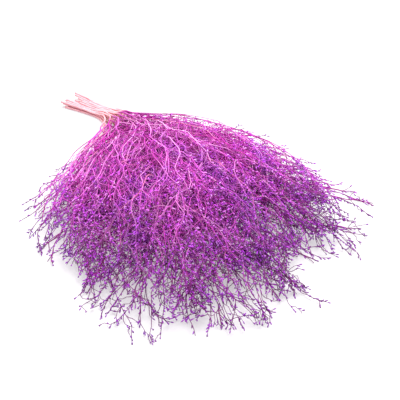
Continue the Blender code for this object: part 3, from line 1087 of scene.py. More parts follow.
@dataclass(eq=False)
class SprayMesh:
    """Gathers the points and faces of one piece, with what its finish reads, and makes its mesh."""

    points: list[Array] = field(default_factory=list)
    corners: list[Array] = field(default_factory=list)
    sizes: list[Array] = field(default_factory=list)
    smooth: list[Array] = field(default_factory=list)
    uvs: list[Array] = field(default_factory=list)
    values: dict[str, list[Array]] = field(default_factory=dict)
    count: int = 0

    def add_points(self, points: Array, **values: Array) -> int:
        """Takes in points.

        Args:
            points: The points, along the last axis.
            **values: For each value that the finish reads, one number for each point.

        Returns:
            The number of the first of them.
        """
        first = self.count
        points = points.reshape(-1, 3)
        self.points.append(points)
        self.count += len(points)
        for name, numbers in values.items():
            self.values.setdefault(name, []).append(np.broadcast_to(numbers, len(points)).ravel())
        return first

    def add_faces(self, faces: Array, uvs: Array, smooth: bool = True) -> None:
        """Takes in faces with the same number of corners.

        Args:
            faces: The point of each corner, a row for each face.
            uvs: The place of each corner in the piece's map.
            smooth: Whether they are shaded as one round surface.
        """
        count, sides = faces.shape
        self.corners.append(faces.ravel())
        self.sizes.append(np.full(count, sides))
        self.smooth.append(np.full(count, smooth))
        self.uvs.append(uvs.reshape(-1, 2))

    def add_tubes(self, twigs: Twigs, cut: bool, values: dict[str, Array]) -> None:
        """Round tubes along twigs, closed at both ends.

        A ring's corners are the point + radius * (cos a * side + sin a * rise), with the side square
        to the way and to the twig's level side. A cut end gets rings round a shallow pith hollow.

        Args:
            twigs: Their paths, radii and sides.
            cut: Whether their roots are cut ends that show.
            values: For each value that the finish reads, one number for each point of each twig.
        """
        if not len(twigs):
            return
        points, radii, ways, distance = twigs.points, twigs.radii, twigs.ways(), twigs.distances()
        values = values | {"cut": np.zeros_like(radii)}
        if cut:
            more = ((0, 0), (len(CUT_END), 0))
            depths, shares, marks = np.array(CUT_END).T
            points = np.concatenate([points[:, :1] + ways[:, :1] * depths[:, None], points], axis=1)
            radii = np.concatenate([radii[:, :1] * shares, radii], axis=1)
            ways = np.pad(ways, (*more, (0, 0)), mode="edge")
            distance = np.pad(distance, more, mode="edge")
            values = {name: np.pad(part, more, mode="edge") for name, part in values.items()}
            values["cut"][:, : len(marks)] = marks
        sides = twigs.sides
        side = unit(np.cross(ways, twigs.level_sides()[:, None]))
        rise = np.cross(ways, side)
        turn = math.tau * np.arange(sides) / sides
        ring = swung(side[:, :, None], rise[:, :, None], turn[:, None])
        corners = points[:, :, None] + radii[..., None, None] * ring
        corners[..., 2] = np.maximum(corners[..., 2], 0.0)
        spread = {name: np.repeat(part.ravel(), sides) for name, part in values.items()}
        first = self.add_points(corners, **spread)

        grid = first + np.arange(corners[..., 0].size).reshape(corners.shape[:3])
        after = np.roll(grid, -1, axis=2)
        quads = np.stack([grid[:, :-1], after[:, :-1], after[:, 1:], grid[:, 1:]], axis=-1)
        around = np.stack([np.arange(sides), np.arange(sides) + 1], axis=-1)[:, [0, 1, 1, 0]] / sides
        rises = np.stack([distance[:, :-1]] * 2 + [distance[:, 1:]] * 2, axis=-1)[:, :, None]
        u, v = np.broadcast_arrays(around, rises)
        self.add_faces(quads.reshape(-1, 4), np.stack([u, v], axis=-1))
        disc = np.stack([np.cos(turn), np.sin(turn)], axis=-1) * DISC_SIZE
        for cap in (grid[:, 0, ::-1], grid[:, -1]):
            self.add_faces(cap, np.broadcast_to(disc, (*cap.shape, 2)), smooth=False)

    def add_florets(self, batch: FloretBatch, lobes: int) -> None:
        """Florets: a foot, a ring round the calyx tube, a lobed rim and a throat or a closed tip.

        Each is a profile turned round its way; a closed one's rim lies below its tip, and an open
        one's rim stands out past its throat, with notches between the lobes.

        Args:
            batch: The florets.
            lobes: How many lobes a rim has.
        """
        if not len(batch.feet):
            return
        openness = batch.openness[:, None]
        turn = math.tau * np.arange(2 * lobes) / (2 * lobes)
        notch = np.arange(2 * lobes) % 2
        tube_height = mix(*TUBE_HEIGHTS, openness) * np.ones(lobes)
        tube_radius = mix(*TUBE_RADII, openness) * np.ones(lobes)
        rim_height = mix(*RIM_HEIGHTS, openness) - notch * mix(*NOTCH_DEPTHS, openness)
        rim_radius = mix(*RIM_RADII, openness) * (1 - notch * mix(*NOTCH_SHARES, openness))
        tip_height = mix(*TIP_HEIGHTS, openness)
        zero = np.zeros_like(tip_height)
        height = np.concatenate([zero, tube_height, rim_height, tip_height], axis=1)
        radius = np.concatenate([zero, tube_radius, rim_radius, zero], axis=1)
        angle = np.concatenate([[0.0], turn[::2], turn, [0.0]])

        rise = np.cross(batch.ways, batch.sides)
        out = swung(batch.sides[:, None], rise[:, None], angle[:, None])
        along_it = batch.ways[:, None] * (height * batch.lengths[:, None])[..., None]
        across = out * (radius * batch.radii[:, None])[..., None]
        points = batch.feet[:, None] + along_it + across
        points[..., 2] = np.maximum(points[..., 2], 0.0)
        each = points.shape[1]
        values = {"tone": batch.tones, "open": batch.openness, "out": batch.out}
        spread = {name: np.repeat(part, each) for name, part in values.items()}
        first = self.add_points(points, **spread)

        lobe = np.arange(lobes)
        after = np.roll(lobe, -1)
        rim = 1 + lobes
        numbers = (0 * lobe, 1 + lobe, 1 + after, rim + 2 * lobe, rim + 2 * lobe + 1, rim + 2 * after)
        corners = np.stack([*numbers, np.full(lobes, rim + 2 * lobes)])
        around = (lobe + LOBE_AROUND) / lobes
        level = np.array([0.0] + [TUBE_LEVEL] * lobes + [RIM_LEVEL] * 2 * lobes + [1.0])
        faces = np.moveaxis(corners[LOBE_FACES], 1, 2).reshape(-1, 3)
        around = np.moveaxis(around[LOBE_FACES], 1, 2).reshape(-1, 3)
        uvs = np.broadcast_to(np.stack([around, level[faces]], axis=-1), (len(points), *faces.shape, 2))
        shifts = first + each * np.arange(len(points))[:, None, None]
        self.add_faces((faces + shifts).reshape(-1, 3), uvs)

    def piece(self, name: str, material: bpy.types.Material) -> bpy.types.Object:
        """The piece that was gathered.

        Args:
            name: Its name.
            material: Its finish.

        Returns:
            The object, linked to the scene.
        """
        mesh = bpy.data.meshes.new(name)
        corners, sizes = np.concatenate(self.corners), np.concatenate(self.sizes)
        mesh.vertices.add(self.count)
        mesh.vertices.foreach_set("co", np.concatenate(self.points).astype(np.float32).ravel())
        mesh.loops.add(len(corners))
        mesh.loops.foreach_set("vertex_index", corners.astype(np.int32))
        mesh.polygons.add(len(sizes))
        starts = np.concatenate([[0], np.cumsum(sizes)[:-1]])
        mesh.polygons.foreach_set("loop_start", starts.astype(np.int32))
        mesh.polygons.foreach_set("use_smooth", np.concatenate(self.smooth))
        layer = mesh.uv_layers.new(name=TWIG_MAP)
        layer.data.foreach_set("uv", np.concatenate(self.uvs).astype(np.float32).ravel())
        for value, numbers in self.values.items():
            attribute = mesh.attributes.new(value, "FLOAT", "POINT")
            attribute.data.foreach_set("value", np.concatenate(numbers).astype(np.float32))
        mesh.update(calc_edges=True)
        mesh.materials.append(material)
        piece = bpy.data.objects.new(name, mesh)
        bpy.context.scene.collection.objects.link(piece)
        return piece


def linear(colour: Colour) -> tuple[float, float, float, float]:
    """A screen colour as the light it stands for.

    Args:
        colour: Red, green and blue, 0 to 255.

    Returns:
        Red, green, blue and 1, 0 to 1.
    """
    parts = [part / 255 for part in colour]
    light = [part / 12.92 if part <= 0.04045 else ((part + 0.055) / 1.055) ** 2.4 for part in parts]
    return (*light, 1.0)


class Signal:
    """A socket in an expression: each operator adds the Math node that works it out."""

    def __init__(self, surface: "Surface", socket: bpy.types.NodeSocket) -> None:
        """Wraps a socket of a surface's node tree."""
        self.surface = surface
        self.socket = socket

    def __add__(self, other: "Signal | float") -> "Signal":
        """This plus another."""
        return self.surface.math("ADD", self, other)

    def __sub__(self, other: "Signal | float") -> "Signal":
        """This less another."""
        return self.surface.math("SUBTRACT", self, other)

    def __mul__(self, other: "Signal | float") -> "Signal":
        """This times another."""
        return self.surface.math("MULTIPLY", self, other)

    __radd__, __rmul__ = __add__, __mul__


@dataclass(frozen=True)
class Layer:
    """A colour over the ones below it, which rises to its share as a value goes from low to high."""

    colour: Colour
    low: float = 0.0
    high: float = 1.0
    share: float = 1.0


class Surface:
    """A material's node tree, and the few ways in which the finishes add to it."""

    def __init__(self, name: str) -> None:
        """Starts a material with its own shader.

        Args:
            name: Its name.
        """
        self.material = bpy.data.materials.new(name)
        self.material.use_nodes = True
        self.tree = self.material.node_tree
        self.shader = self.tree.nodes["Principled BSDF"]

    def node(
        self, kind: str, settings: dict[str, object], inputs: dict[str | int, object]
    ) -> bpy.types.Node:
        """Adds a node.

        Args:
            kind: Its type.
            settings: Its own properties, set first; stops are a ramp's places and colours.
            inputs: Values or signals for its sockets.

        Returns:
            The node.
        """
        node = self.tree.nodes.new(kind)
        for name, value in settings.items():
            if name == "stops":
                elements = node.color_ramp.elements
                while len(elements) < len(value):
                    elements.new(1.0)
                for element, (place, colour) in zip(elements, value):
                    element.position = place
                    element.color = linear(colour)
            else:
                setattr(node, name, value)
        for key, value in inputs.items():
            self.feed(node.inputs[key], value)
        return node

    def feed(self, socket: bpy.types.NodeSocket, value: object) -> None:
        """Gives a socket what it reads.

        Args:
            socket: The socket.
            value: A signal to link to it, or its own value.
        """
        if isinstance(value, Signal):
            self.tree.links.new(value.socket, socket)
        else:
            socket.default_value = value

    def math(self, operation: str, *values: "Signal | float") -> Signal:
        """What a Math node makes of some values."""
        node = self.node("ShaderNodeMath", {"operation": operation}, dict(enumerate(values)))
        return Signal(self, node.outputs[0])

    def blend(self, share: Signal | float, low: object, high: object) -> Signal:
        """Two colours mixed by a share of the second."""
        node = self.node("ShaderNodeMix", {"data_type": "RGBA"}, {0: share, 6: low, 7: high})
        return Signal(self, node.outputs[2])

    def ramp(self, share: Signal, stops: tuple[tuple[float, Colour], ...]) -> Signal:
        """The colour that a share picks from a ramp."""
        node = self.node("ShaderNodeValToRGB", {"stops": stops}, {0: share})
        return Signal(self, node.outputs[0])

    def value(self, name: str) -> Signal:
        """A value that the mesh carries at its points."""
        node = self.node("ShaderNodeAttribute", {"attribute_name": name}, {})
        return Signal(self, node.outputs["Fac"])

    def twig_map(self) -> tuple[Signal, Signal, Signal]:
        """The map round and along a twig.

        Returns:
            The share of the way round it, the distance along it, and both as one place.
        """
        both = Signal(self, self.node("ShaderNodeUVMap", {"uv_map": TWIG_MAP}, {}).outputs[0])
        parts = self.node("ShaderNodeSeparateXYZ", {}, {0: both})
        return Signal(self, parts.outputs[0]), Signal(self, parts.outputs[1]), both

    def wave(self, around: Signal, count: int) -> Signal:
        """A cosine wave with this many crests the way round, 0 to 1."""
        return self.math("COSINE", around * (math.tau * count)) * 0.5 + 0.5

    def noise(self, scale: float = 1.0, detail: float = 2.0, stretch: Pair | None = None) -> Signal:
        """Noise in the object's own coordinates, or, stretched, in the twig's map.

        Args:
            scale: How many bumps to a metre, or to a unit of the stretched map.
            detail: How many finer layers it has.
            stretch: The factors round and along the twig.

        Returns:
            The noise, about 0.3 to 0.7.
        """
        if stretch is None:
            place = Signal(self, self.node("ShaderNodeTexCoord", {}, {}).outputs["Object"])
        else:
            _, _, both = self.twig_map()
            mapping = self.node("ShaderNodeMapping", {}, {"Vector": both, "Scale": (*stretch, 1.0)})
            place = Signal(self, mapping.outputs[0])
        inputs = {"Vector": place, "Scale": scale, "Detail": detail}
        return Signal(self, self.node("ShaderNodeTexNoise", {}, inputs).outputs[0])

    def remap(self, value: Signal, low: float, high: float) -> Signal:
        """A value brought from between low and high to 0 to 1, and held there."""
        node = self.node("ShaderNodeMapRange", {}, {0: value, 1: low, 2: high})
        return Signal(self, node.outputs[0])

    def weighed(self, weights: Numbers, *values: Signal) -> Signal:
        """The sum of some values, each times its weight."""
        first, *rest = (value * weight for value, weight in zip(values, weights, strict=True))
        return sum(rest, first)

    def lay(self, below: object, value: Signal, layer: Layer, where: Signal | float = 1.0) -> Signal:
        """A layer over the colour below it, by the value that it rises with and where it may show."""
        share = self.remap(value, layer.low, layer.high) * (where * layer.share)
        return self.blend(share, below, linear(layer.colour))

    def finish(
        self, colour: Signal, roughness: Signal, relief: Signal, depth: float, specular: float
    ) -> None:
        """Feeds the shader.

        Args:
            colour: Its colour.
            roughness: Its roughness.
            relief: The relief, 0 to 1.
            depth: How deep the relief is.
            specular: How strongly it mirrors.
        """
        bump = self.node("ShaderNodeBump", {}, {"Height": relief, "Distance": depth})
        self.feed(self.shader.inputs["Base Color"], colour)
        self.feed(self.shader.inputs["Roughness"], roughness)
        self.feed(self.shader.inputs["Normal"], Signal(self, bump.outputs[0]))
        self.feed(self.shader.inputs["Specular IOR Level"], specular)


@dataclass(frozen=True)
class DyedStem:
    """The dry, finely ribbed skin of the stems: bare pink where the dye stopped, then magenta."""

    patch_scale: float = 28.0  # bumps to a metre
    tint_scale: float = 27.0
    speck_scale: float = 900.0
    streak_stretch: Pair = (9.0, 160.0)  # round the twig, and to a metre along it
    ribs: int = 9
    bare_streak: Colour = (210, 136, 148)
    bare: Layer = Layer((230, 174, 180), 0.35, 0.62)  # between the streaks
    bare_shade: Layer = Layer((190, 112, 126), 0.6, 0.8, 0.6)  # in specks
    shade_weights: Numbers = (0.5, 0.65, 0.2, 0.2)  # of patches, tone, streaks, and height, whose weight paints the higher stems paler as painted light
    shade_range: Pair = (0.65, 1.2)
    shades: tuple[tuple[float, Colour], ...] = (
        (0.0, (176, 12, 150)),
        (0.4, (202, 84, 186)),
        (0.8, (246, 172, 230)),
        (1.0, (253, 208, 242)),
    )
    reddish: Layer = Layer((200, 44, 112), 0.84, 0.86, 0.7)  # from this tone on
    thin: Layer = Layer((208, 90, 198), 0.4, 1.2)  # on fine twigs, toward the outline
    thin_specks: float = 0.4
    violet: Layer = Layer((152, 42, 204), 0.5, 0.62, 0.55)  # in tinted places of fine twigs
    joint: Layer = Layer((134, 32, 106), share=0.5)
    outer: Layer = Layer((70, 12, 66), 0.97, 1.26, 0.85)  # near the outline: painted shade, where the backlit fringe shows its shaded side
    outer_weights: Numbers = (1.0, 0.2, 0.15, 0.3)  # of the way out, fineness, tone, patches
    edge_streaks: float = 0.5  # how far the streaks shift the edge of the dye
    edge_range: Pair = (0.35, 0.65)
    pith: Layer = Layer((240, 216, 190), 0.15, 0.35)  # on cut ends
    hollow: Layer = Layer((120, 74, 70), 0.55, 0.85)
    roughness: float = 0.52
    roughness_weights: Pair = (0.25, 0.1)  # of specks and ribs
    relief_weights: Numbers = (0.4, 0.4, 0.2)  # of ribs, streaks and specks
    relief_depth: float = 0.12 * MM
    specular: float = 0.2

    def material(self) -> bpy.types.Material:
        """The finish, as a material.

        Returns:
            The material.
        """
        s = Surface("dyed_stem")
        around, _, _ = s.twig_map()
        dye, tone, fine, joint, out, high, cut = (
            s.value(name) for name in ("dye", "tone", "fine", "joint", "out", "high", "cut")
        )
        patches, tint = s.noise(self.patch_scale), s.noise(self.tint_scale, FINE_DETAIL)
        streaks = s.noise(detail=FINE_DETAIL, stretch=self.streak_stretch)
        specks = s.noise(self.speck_scale, SPECK_DETAIL)
        rib = s.wave(around, self.ribs)

        bare = s.lay(linear(self.bare_streak), streaks, self.bare)
        bare = s.lay(bare, specks, self.bare_shade)
        # the height's weight is painted light: it paints the higher stems paler
        shade = s.weighed(self.shade_weights, patches, tone, streaks, high)
        dyed = s.ramp(s.remap(shade, *self.shade_range), self.shades)
        dyed = s.lay(dyed, tone, self.reddish)
        dyed = s.lay(dyed, out + specks * self.thin_specks, self.thin, fine)
        dyed = s.lay(dyed, tint, self.violet, fine)
        dyed = s.lay(dyed, joint, self.joint)
        # painted shade, darker toward the outline, where the backlit twigs turn their shaded side to
        # view
        dyed = s.lay(dyed, s.weighed(self.outer_weights, out, fine, tone, patches), self.outer)
        edge = s.remap(dye + (streaks - 0.5) * self.edge_streaks, *self.edge_range)
        colour = s.blend(edge, bare, dyed)
        colour = s.lay(colour, cut, self.pith)
        colour = s.lay(colour, cut, self.hollow)
        roughness = self.roughness + s.weighed(self.roughness_weights, specks, rib)
        relief = s.weighed(self.relief_weights, rib, streaks, specks)
        s.finish(colour, roughness, relief, self.relief_depth, self.specular)
        return s.material


@dataclass(frozen=True)
class PaperyFloret:
    """The pleated, papery calyx: dark at its foot, violet, with a paler dry rim."""

    patch_scale: float = 24.0  # bumps to a metre
    tint_scale: float = 27.0
    speck_scale: float = 1400.0
    crinkle_stretch: Pair = (14.0, 2.5)  # round the floret, and from foot to tip
    pleats: int = 5
    shade_weights: Pair = (0.9, 0.6)  # of tone and patches
    shade_range: Pair = (0.28, 1.2)
    shades: tuple[tuple[float, Colour], ...] = (
        (0.0, (152, 18, 180)),
        (0.35, (190, 52, 212)),
        (0.7, (226, 100, 228)),
        (0.95, (246, 184, 244)),
    )
    blue_violet: Layer = Layer((144, 40, 208), 0.5, 0.62, 0.5)
    withered: Layer = Layer((178, 110, 120), 0.955, 0.965, 0.8)  # from this tone on
    foot: Layer = Layer((84, 24, 80), 0.3, 0.0, 0.6)
    rim: Layer = Layer((248, 188, 244), 0.55, 0.85)
    dryness: Pair = (0.15, 0.55)  # of a shut one's rim, and what openness adds
    crinkle_range: Pair = (0.25, 0.6)
    fold: Layer = Layer((152, 18, 180), 1.0, 0.0, 0.25)  # between the pleats: painted shade in the creases
    outer: Layer = Layer((70, 12, 104), 0.96, 1.25, 0.75)  # near the outline: painted shade of the backlit fringe, lighter than on the stems
    outer_weights: Numbers = (1.0, 0.2, 0.3)  # of the way out, tone and patches
    roughness: Pair = (0.6, 0.3)  # at least, and what specks add
    relief_weights: Numbers = (0.6, 0.3, 0.1)  # of pleats, crinkles and specks
    relief_depth: float = 0.15 * MM
    specular: float = 0.15

    def material(self) -> bpy.types.Material:
        """The finish, as a material.

        Returns:
            The material.
        """
        s = Surface("papery_floret")
        around, rise, _ = s.twig_map()
        tone, opened, out = s.value("tone"), s.value("open"), s.value("out")
        patches, tint = s.noise(self.patch_scale), s.noise(self.tint_scale, FINE_DETAIL)
        specks = s.noise(self.speck_scale, SPECK_DETAIL)
        crinkle = s.noise(detail=FINE_DETAIL, stretch=self.crinkle_stretch)
        pleat = s.wave(around, self.pleats)

        shade = s.weighed(self.shade_weights, tone, patches)
        body = s.ramp(s.remap(shade, *self.shade_range), self.shades)
        body = s.lay(body, tint, self.blue_violet)
        body = s.lay(body, tone, self.withered)
        body = s.lay(body, rise, self.foot)
        shut, more = self.dryness
        dry = (shut + more * opened) * s.remap(crinkle, *self.crinkle_range)
        colour = s.lay(body, rise, self.rim, dry)
        # painted shade in the creases between the pleats
        colour = s.lay(colour, pleat, self.fold)
        # painted shade, darker toward the outline of the backlit fringe
        colour = s.lay(colour, s.weighed(self.outer_weights, out, tone, patches), self.outer)
        least, more = self.roughness
        relief = s.weighed(self.relief_weights, pleat, crinkle, specks)
        s.finish(colour, least + more * specks, relief, self.relief_depth, self.specular)
        return s.material


@dataclass(frozen=True)
class Sprays:
    """All the sprays: grown branches drawn round, fine twigs on them, and florets on those."""

    growth: Growth = field(default_factory=Growth)
    sections: tuple[Section, ...] = (
        Section(points=120, sides=7, radii=(0.9, 0.5), waver=0.9 * MM, wave=60 * MM, smoothing=7),
        Section(points=22, sides=5, radii=(0.64 * MM, 0.4 * MM), waver=1.3 * MM, wave=36 * MM),
        Section(points=11, sides=4, radii=(0.46 * MM, 0.32 * MM), waver=1.1 * MM, wave=22 * MM),
        Section(points=6, sides=4, radii=(0.36 * MM, 0.27 * MM), waver=0.7 * MM, wave=13 * MM),
    )
    whips: Habit = Habit(
        shares=(0.14, 0.8), spacing=4.6 * MM, angles=(5.0, 55.0), roll=60.0,
        lengths=(20 * MM, 98 * MM), length_share=0.75, radii=(0.58 * MM, 0.32 * MM), points=18,
        bend=0.3, rise_or_droop=(-0.35, 0.15), kinks=(0.02, 0.12), curl=68.0, inward=45.0,
        waver=4.4 * MM, wave=95 * MM,
    )
    laterals: Habit = Habit(
        shares=(0.35, 1.0), spacing=11.2 * MM, angles=(35.0, 95.0), roll=90.0,
        lengths=(8 * MM, 34 * MM), length_share=0.15, radii=(0.4 * MM, 0.3 * MM), points=7,
        bend=0.2, rise_or_droop=(-0.5, 0.3), kinks=(0.3, 0.8), curl=120.0, inward=20.0,
        waver=1.1 * MM, wave=26 * MM,
    )
    sprigs: Habit = Habit(
        shares=(0.35, 1.0), spacing=8.8 * MM, angles=(40.0, 90.0), roll=90.0,
        lengths=(4 * MM, 11 * MM), length_share=0.1, radii=(0.32 * MM, 0.26 * MM), points=4,
        bend=0.3, rise_or_droop=(-0.8, 0.4), kinks=(0.1, 0.4), curl=60.0, inward=0.0, waver=0.0,
        wave=10 * MM,
    )
    sprigs_from: float = 0.5  # share of the way to the outline of the nearest sprigs
    florets: FloretHabit = field(default_factory=FloretHabit)
    thick: float = 0.5 * MM  # a twig this thick isn't thin at all to its finish
    thin: float = 0.26 * MM
    joint_width: float = 1.6 * MM
    joint_swelling: float = 0.2
    own_tone: float = 0.6  # share of a twig's own tone in its tone; the rest is its spray's
    dye_edge: Pair = (2 * MM, 58 * MM)  # past the waist, along the bundle
    faded: Pair = (0.15, 0.95)  # of the mound's height, over which the stems are painted paler toward the top: painted light
    outgrowth: tuple[float, float, float] = (5 * MM, 8 * MM, -1.4 * MM)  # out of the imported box
    floret_rise: float = 2.5 * MM  # of the highest floret's tip, above the highest twigs
    corner_digits: int = 4  # of that box's corners, in metres

    def drawn(self, levels: list[list[Branch]], rng: Draws) -> list[Twigs]:
        """The grown branches as smooth, slightly wavering twigs, each seated on its parent.

        Args:
            levels: The grown branches, stems first.
            rng: The draws of the fine pieces.

        Returns:
            A batch of twigs for each level.
        """
        batches: list[Twigs] = []
        for level, (branches, section) in enumerate(zip(levels, self.sections)):
            paths, solid_radii = zip(
                *(rounded(branch, section.points, section.rounding) for branch in branches)
            )
            points = np.array([smoothed(path, section.smoothing) for path in paths])
            radii = np.linspace(*section.radii, section.points) * np.ones((len(branches), 1))
            if level == 0:
                radii *= np.array(solid_radii)
            sprays = np.array([branch.spray for branch in branches])
            twigs = Twigs(points, radii, sprays, section.sides)
            twigs.waver(section.waver, section.wave, rng)
            if level:
                row_of = {id(branch): row for row, branch in enumerate(levels[level - 1])}
                rows = np.array([row_of[id(branch.parent)] for branch in branches])
                lengths = np.array([branch.parent.distances()[-2] for branch in branches])
                shares = np.clip([branch.root for branch in branches] / lengths, 0, 1)
                twigs.seat(batches[-1], rows, shares)
                self.swell(batches[-1], rows, shares)
            twigs.rest()
            batches.append(twigs)
        return batches

    def swell(self, carriers: Twigs, rows: Array, shares: Array) -> None:
        """Thickens carriers a little at their forks, by exp(-(distance / joint width)^2).

        Args:
            carriers: The twigs that fork.
            rows: The carrier of each fork.
            shares: How far along its carrier each fork is.
        """
        distance = carriers.distances()
        forks = shares * carriers.lengths()[rows]
        near = np.exp(-(((distance[rows] - forks[:, None]) / self.joint_width) ** 2))
        total = np.zeros_like(distance)
        np.add.at(total, rows, near)
        carriers.radii *= 1 + self.joint_swelling * np.minimum(total, 1)

    def fine_twigs(self, levels: list[Twigs], corners: Array, rng: Draws) -> list[Twigs]:
        """The twigs that are too fine for the solids: whips, laterals on them, and sprigs.

        Args:
            levels: The grown branches.
            corners: The lowest and the highest corner that they may reach.
            rng: The draws of the fine pieces.

        Returns:
            The batches, whips first.
        """
        stems, primaries, secondaries, twiglets = levels
        whips = self.whips.sprout(stems, self.growth, corners, rng)
        laterals = [
            self.laterals.sprout(carriers, self.growth, corners, rng)
            for carriers in (whips, primaries, secondaries)
        ]
        sprigs = [
            self.sprigs.sprout(carriers.only(self.far_out(carriers)), self.growth, corners, rng)
            for carriers in (secondaries, twiglets, *laterals)
        ]
        for kind, batches in (("whips", [whips]), ("laterals", laterals), ("sprigs", sprigs)):
            LOG.info("%s %d", kind, sum(map(len, batches)))
        return [whips, *laterals, *sprigs]

    def far_out(self, twigs: Twigs) -> Array:
        """Whether each twig's tip is far enough out to bear sprigs."""
        return self.growth.mound.share(twigs.points[:, -1]) > self.sprigs_from

    def values(self, twigs: Twigs, spray_tones: Array, rng: Draws) -> dict[str, Array]:
        """What the stems' finish reads at each point.

        Args:
            twigs: The twigs.
            spray_tones: A tone for each spray.
            rng: The draws of the fine pieces.

        Returns:
            The dye, tone, fineness, joints, way out and painted-light height, in the shape of the
            radii.
        """
        usual = np.median(twigs.radii, axis=1, keepdims=True)
        own = rng.uniform(0, 1, (len(twigs), 1))
        tone = mix(spray_tones[twigs.sprays][:, None], own, self.own_tone)
        mound = self.growth.mound
        past_waist = (twigs.points - np.array(mound.waist)) @ along(self.growth.bundle.heading)
        return {
            "dye": eased(past_waist, *self.dye_edge),
            "tone": tone * np.ones_like(twigs.radii),
            "fine": np.clip((self.thick - twigs.radii) / (self.thick - self.thin), 0, 1),
            "joint": np.clip((twigs.radii / usual - 1) / self.joint_swelling, 0, 1),
            "out": mound.out(twigs.points),
            # painted light: the higher a stem lies under the mound's ceiling, the paler it is painted
            "high": eased(twigs.points[..., 2] / mound.ceiling(twigs.points), *self.faded),
        }

    def dress(
        self, grown: list[list[Branch]], shift: Array, corners: Array
    ) -> list[bpy.types.Object]:
        """Grows the fine twigs and the florets, and makes the two pieces of each spray.

        Args:
            grown: The grown branches, stems first.
            shift: From the growth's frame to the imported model's.
            corners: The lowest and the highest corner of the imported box, in the growth's frame.

        Returns:
            The pieces, spray by spray.
        """
        rng = np.random.default_rng(FINE_SEED)
        corners = corners + np.array([[-1.0], [1.0]]) * self.outgrowth
        # Rounded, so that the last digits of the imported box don't change which twigs are kept
        corners = np.round(corners, self.corner_digits)
        levels = self.drawn(grown, rng)
        fine = self.fine_twigs(levels, corners, rng)
        mound = self.growth.mound
        bearers = (*levels[1:], *fine)
        florets = FloretBatch.together([self.florets.place(twigs, mound, rng) for twigs in bearers])
        tips = florets.feet + florets.ways * florets.lengths[:, None]
        florets = florets.only(tips[:, 2] < corners[1, 2] + self.floret_rise)
        LOG.info("florets %d", len(florets.feet))
        tones = rng.uniform(0, 1, len(grown[0]))
        dressed = [(twigs, self.values(twigs, tones, rng)) for twigs in (*levels, *fine)]
        for twigs, _ in dressed:
            twigs.points += shift
        florets.feet += shift
        finishes = {"dyed_stem": DyedStem().material(), "floret": PaperyFloret().material()}
        pieces = []
        for number in range(len(grown[0])):
            stems, heads = SprayMesh(), SprayMesh()
            for batch, (twigs, values) in enumerate(dressed):
                own = twigs.sprays == number
                own_values = {key: part[own] for key, part in values.items()}
                stems.add_tubes(twigs.only(own), batch == 0, own_values)
            own_florets = florets.only(florets.sprays == number)
            shut = own_florets.openness < self.florets.shut
            heads.add_florets(own_florets.only(~shut), self.florets.lobes)
            heads.add_florets(own_florets.only(shut), self.florets.closed_lobes)
            node = f"spray_{number + 1:02d}"
            for kind, mesh, slot in (("stems", stems, "dyed_stem"), ("florets", heads, "floret")):
                piece = mesh.piece(f"{node}_{kind}", finishes[slot])
                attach(piece, "root")
                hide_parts(node)
                pieces.append(piece)
        return pieces


@dataclass(frozen=True)
class Studio:
    """A plain pale floor, a white surround and one soft light overhead."""

    floor_size: float = 12.0
    floor_colour: Colour = (146, 146, 147)
    clouds: Layer = Layer((149, 149, 149))  # over the floor's colour
    cloud_scale: float = 3.0  # clouds to a metre
    floor_roughness: Pair = (0.85, 0.1)  # at least, and what the clouds add
    floor_relief: float = 0.1 * MM
    floor_specular: float = 0.5
    floor_glow: float = 0.45  # like a lit table under white paper
    glow_colour: Colour = (255, 248, 255)
    surround: float = 1.24
    light_size: float = 1.4
    light_power: float = 59.0
    light_place: tuple[float, float, float] = (0.45, 0.35, 1.55)
    light_aim: tuple[float, float, float] = (0.0, -0.02, 0.03)

    def floor(self) -> bpy.types.Object:
        """Lays the floor, which isn't part of the object.

        Returns:
            The floor.
        """
        half = self.floor_size / 2
        corners = [(-half, -half, 0), (half, -half, 0), (half, half, 0), (-half, half, 0)]
        mesh = bpy.data.meshes.new("studio_floor")
        mesh.from_pydata(corners, [], [(0, 1, 2, 3)])
        s = Surface("pale_floor")
        cloud = s.noise(self.cloud_scale)
        tint = s.lay(linear(self.floor_colour), cloud, self.clouds)
        least, more = self.floor_roughness
        s.finish(tint, least + more * cloud, cloud, self.floor_relief, self.floor_specular)
        s.shader.inputs["Emission Color"].default_value = linear(self.glow_colour)
        s.shader.inputs["Emission Strength"].default_value = self.floor_glow
        mesh.materials.append(s.material)
        floor = bpy.data.objects.new("studio_floor", mesh)
        bpy.context.scene.collection.objects.link(floor)
        floor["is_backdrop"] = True
        return floor

    def lights(self) -> None:
        """Sets the surround and the soft light."""
        world = bpy.data.worlds.new("studio")
        world.use_nodes = True
        background = world.node_tree.nodes["Background"]
        background.inputs["Color"].default_value = (1.0, 1.0, 1.0, 1.0)
        background.inputs["Strength"].default_value = self.surround
        bpy.context.scene.world = world
        lamp = bpy.data.lights.new("soft_light", "AREA")
        lamp.shape = "SQUARE"
        lamp.size = self.light_size
        lamp.energy = self.light_power
        light = bpy.data.objects.new("soft_light", lamp)
        light.location = self.light_place
        down = Vector(self.light_place) - Vector(self.light_aim)
        light.rotation_euler = down.to_track_quat("Z", "Y").to_euler()
        bpy.context.scene.collection.objects.link(light)
        bpy.context.scene.view_settings.view_transform = "Standard"


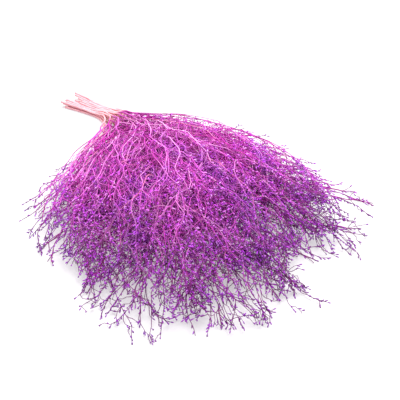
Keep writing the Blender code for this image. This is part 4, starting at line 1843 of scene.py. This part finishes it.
@dataclass(frozen=True)
class Viewpoint:
    """The photograph's camera, which looks at the growth's origin."""

    azimuth: float = -19.5
    elevation: float = 35.0
    distance: float = 1.05
    lens: float = 90.0
    sensor: float = 36.0

    def place(self, target: Array) -> None:
        """Sets the camera up.

        Args:
            target: The point in the middle of the picture.
        """
        azimuth, elevation = math.radians(self.azimuth), math.radians(self.elevation)
        back = Vector((
            math.sin(azimuth) * math.cos(elevation),
            -math.cos(azimuth) * math.cos(elevation),
            math.sin(elevation),
        ))
        lens = bpy.data.cameras.new("camera")
        lens.lens, lens.sensor_width = self.lens, self.sensor
        camera = bpy.data.objects.new("camera", lens)
        camera.location = Vector(target) + back * self.distance
        camera.rotation_euler = back.to_track_quat("Z", "Y").to_euler()
        bpy.context.scene.collection.objects.link(camera)
        bpy.context.scene.camera = camera


def shift_to_frame(levels: list[list[Branch]]) -> Array:
    """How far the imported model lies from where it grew, from the middles of the sprays' boxes.

    Args:
        levels: The grown branches.

    Returns:
        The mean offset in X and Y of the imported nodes' boxes from the grown sprays' boxes.
    """
    branches = [branch for level in levels for branch in level]
    offsets = []
    for number in range(len(levels[0])):
        points = np.concatenate([branch.points for branch in branches if branch.spray == number])
        low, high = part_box(f"spray_{number + 1:02d}")
        offsets.append((np.array(low) + np.array(high) - points.min(axis=0) - points.max(axis=0)) / 2)
    return np.mean(offsets, axis=0) * (1, 1, 0)


def main() -> None:
    """Builds the sprays, the studio and the camera, and reports each piece."""
    logging.basicConfig(level=logging.INFO, format="%(message)s")
    cad_box = [list(map(float, corner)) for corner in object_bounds()]
    sprays, studio = Sprays(), Studio()
    grown = sprays.growth.grow()
    shift = shift_to_frame(grown)
    LOG.info("shift to the packed frame %s", shift)
    pieces = sprays.dress(grown, shift, np.array(cad_box) - shift)
    pieces.append(studio.floor())
    studio.lights()
    Viewpoint().place(shift)
    for piece in pieces:
        piece.data.calc_loop_triangles()
        LOG.info("%s: %d triangles", piece.name, len(piece.data.loop_triangles))


if __name__ == "__main__":
    main()
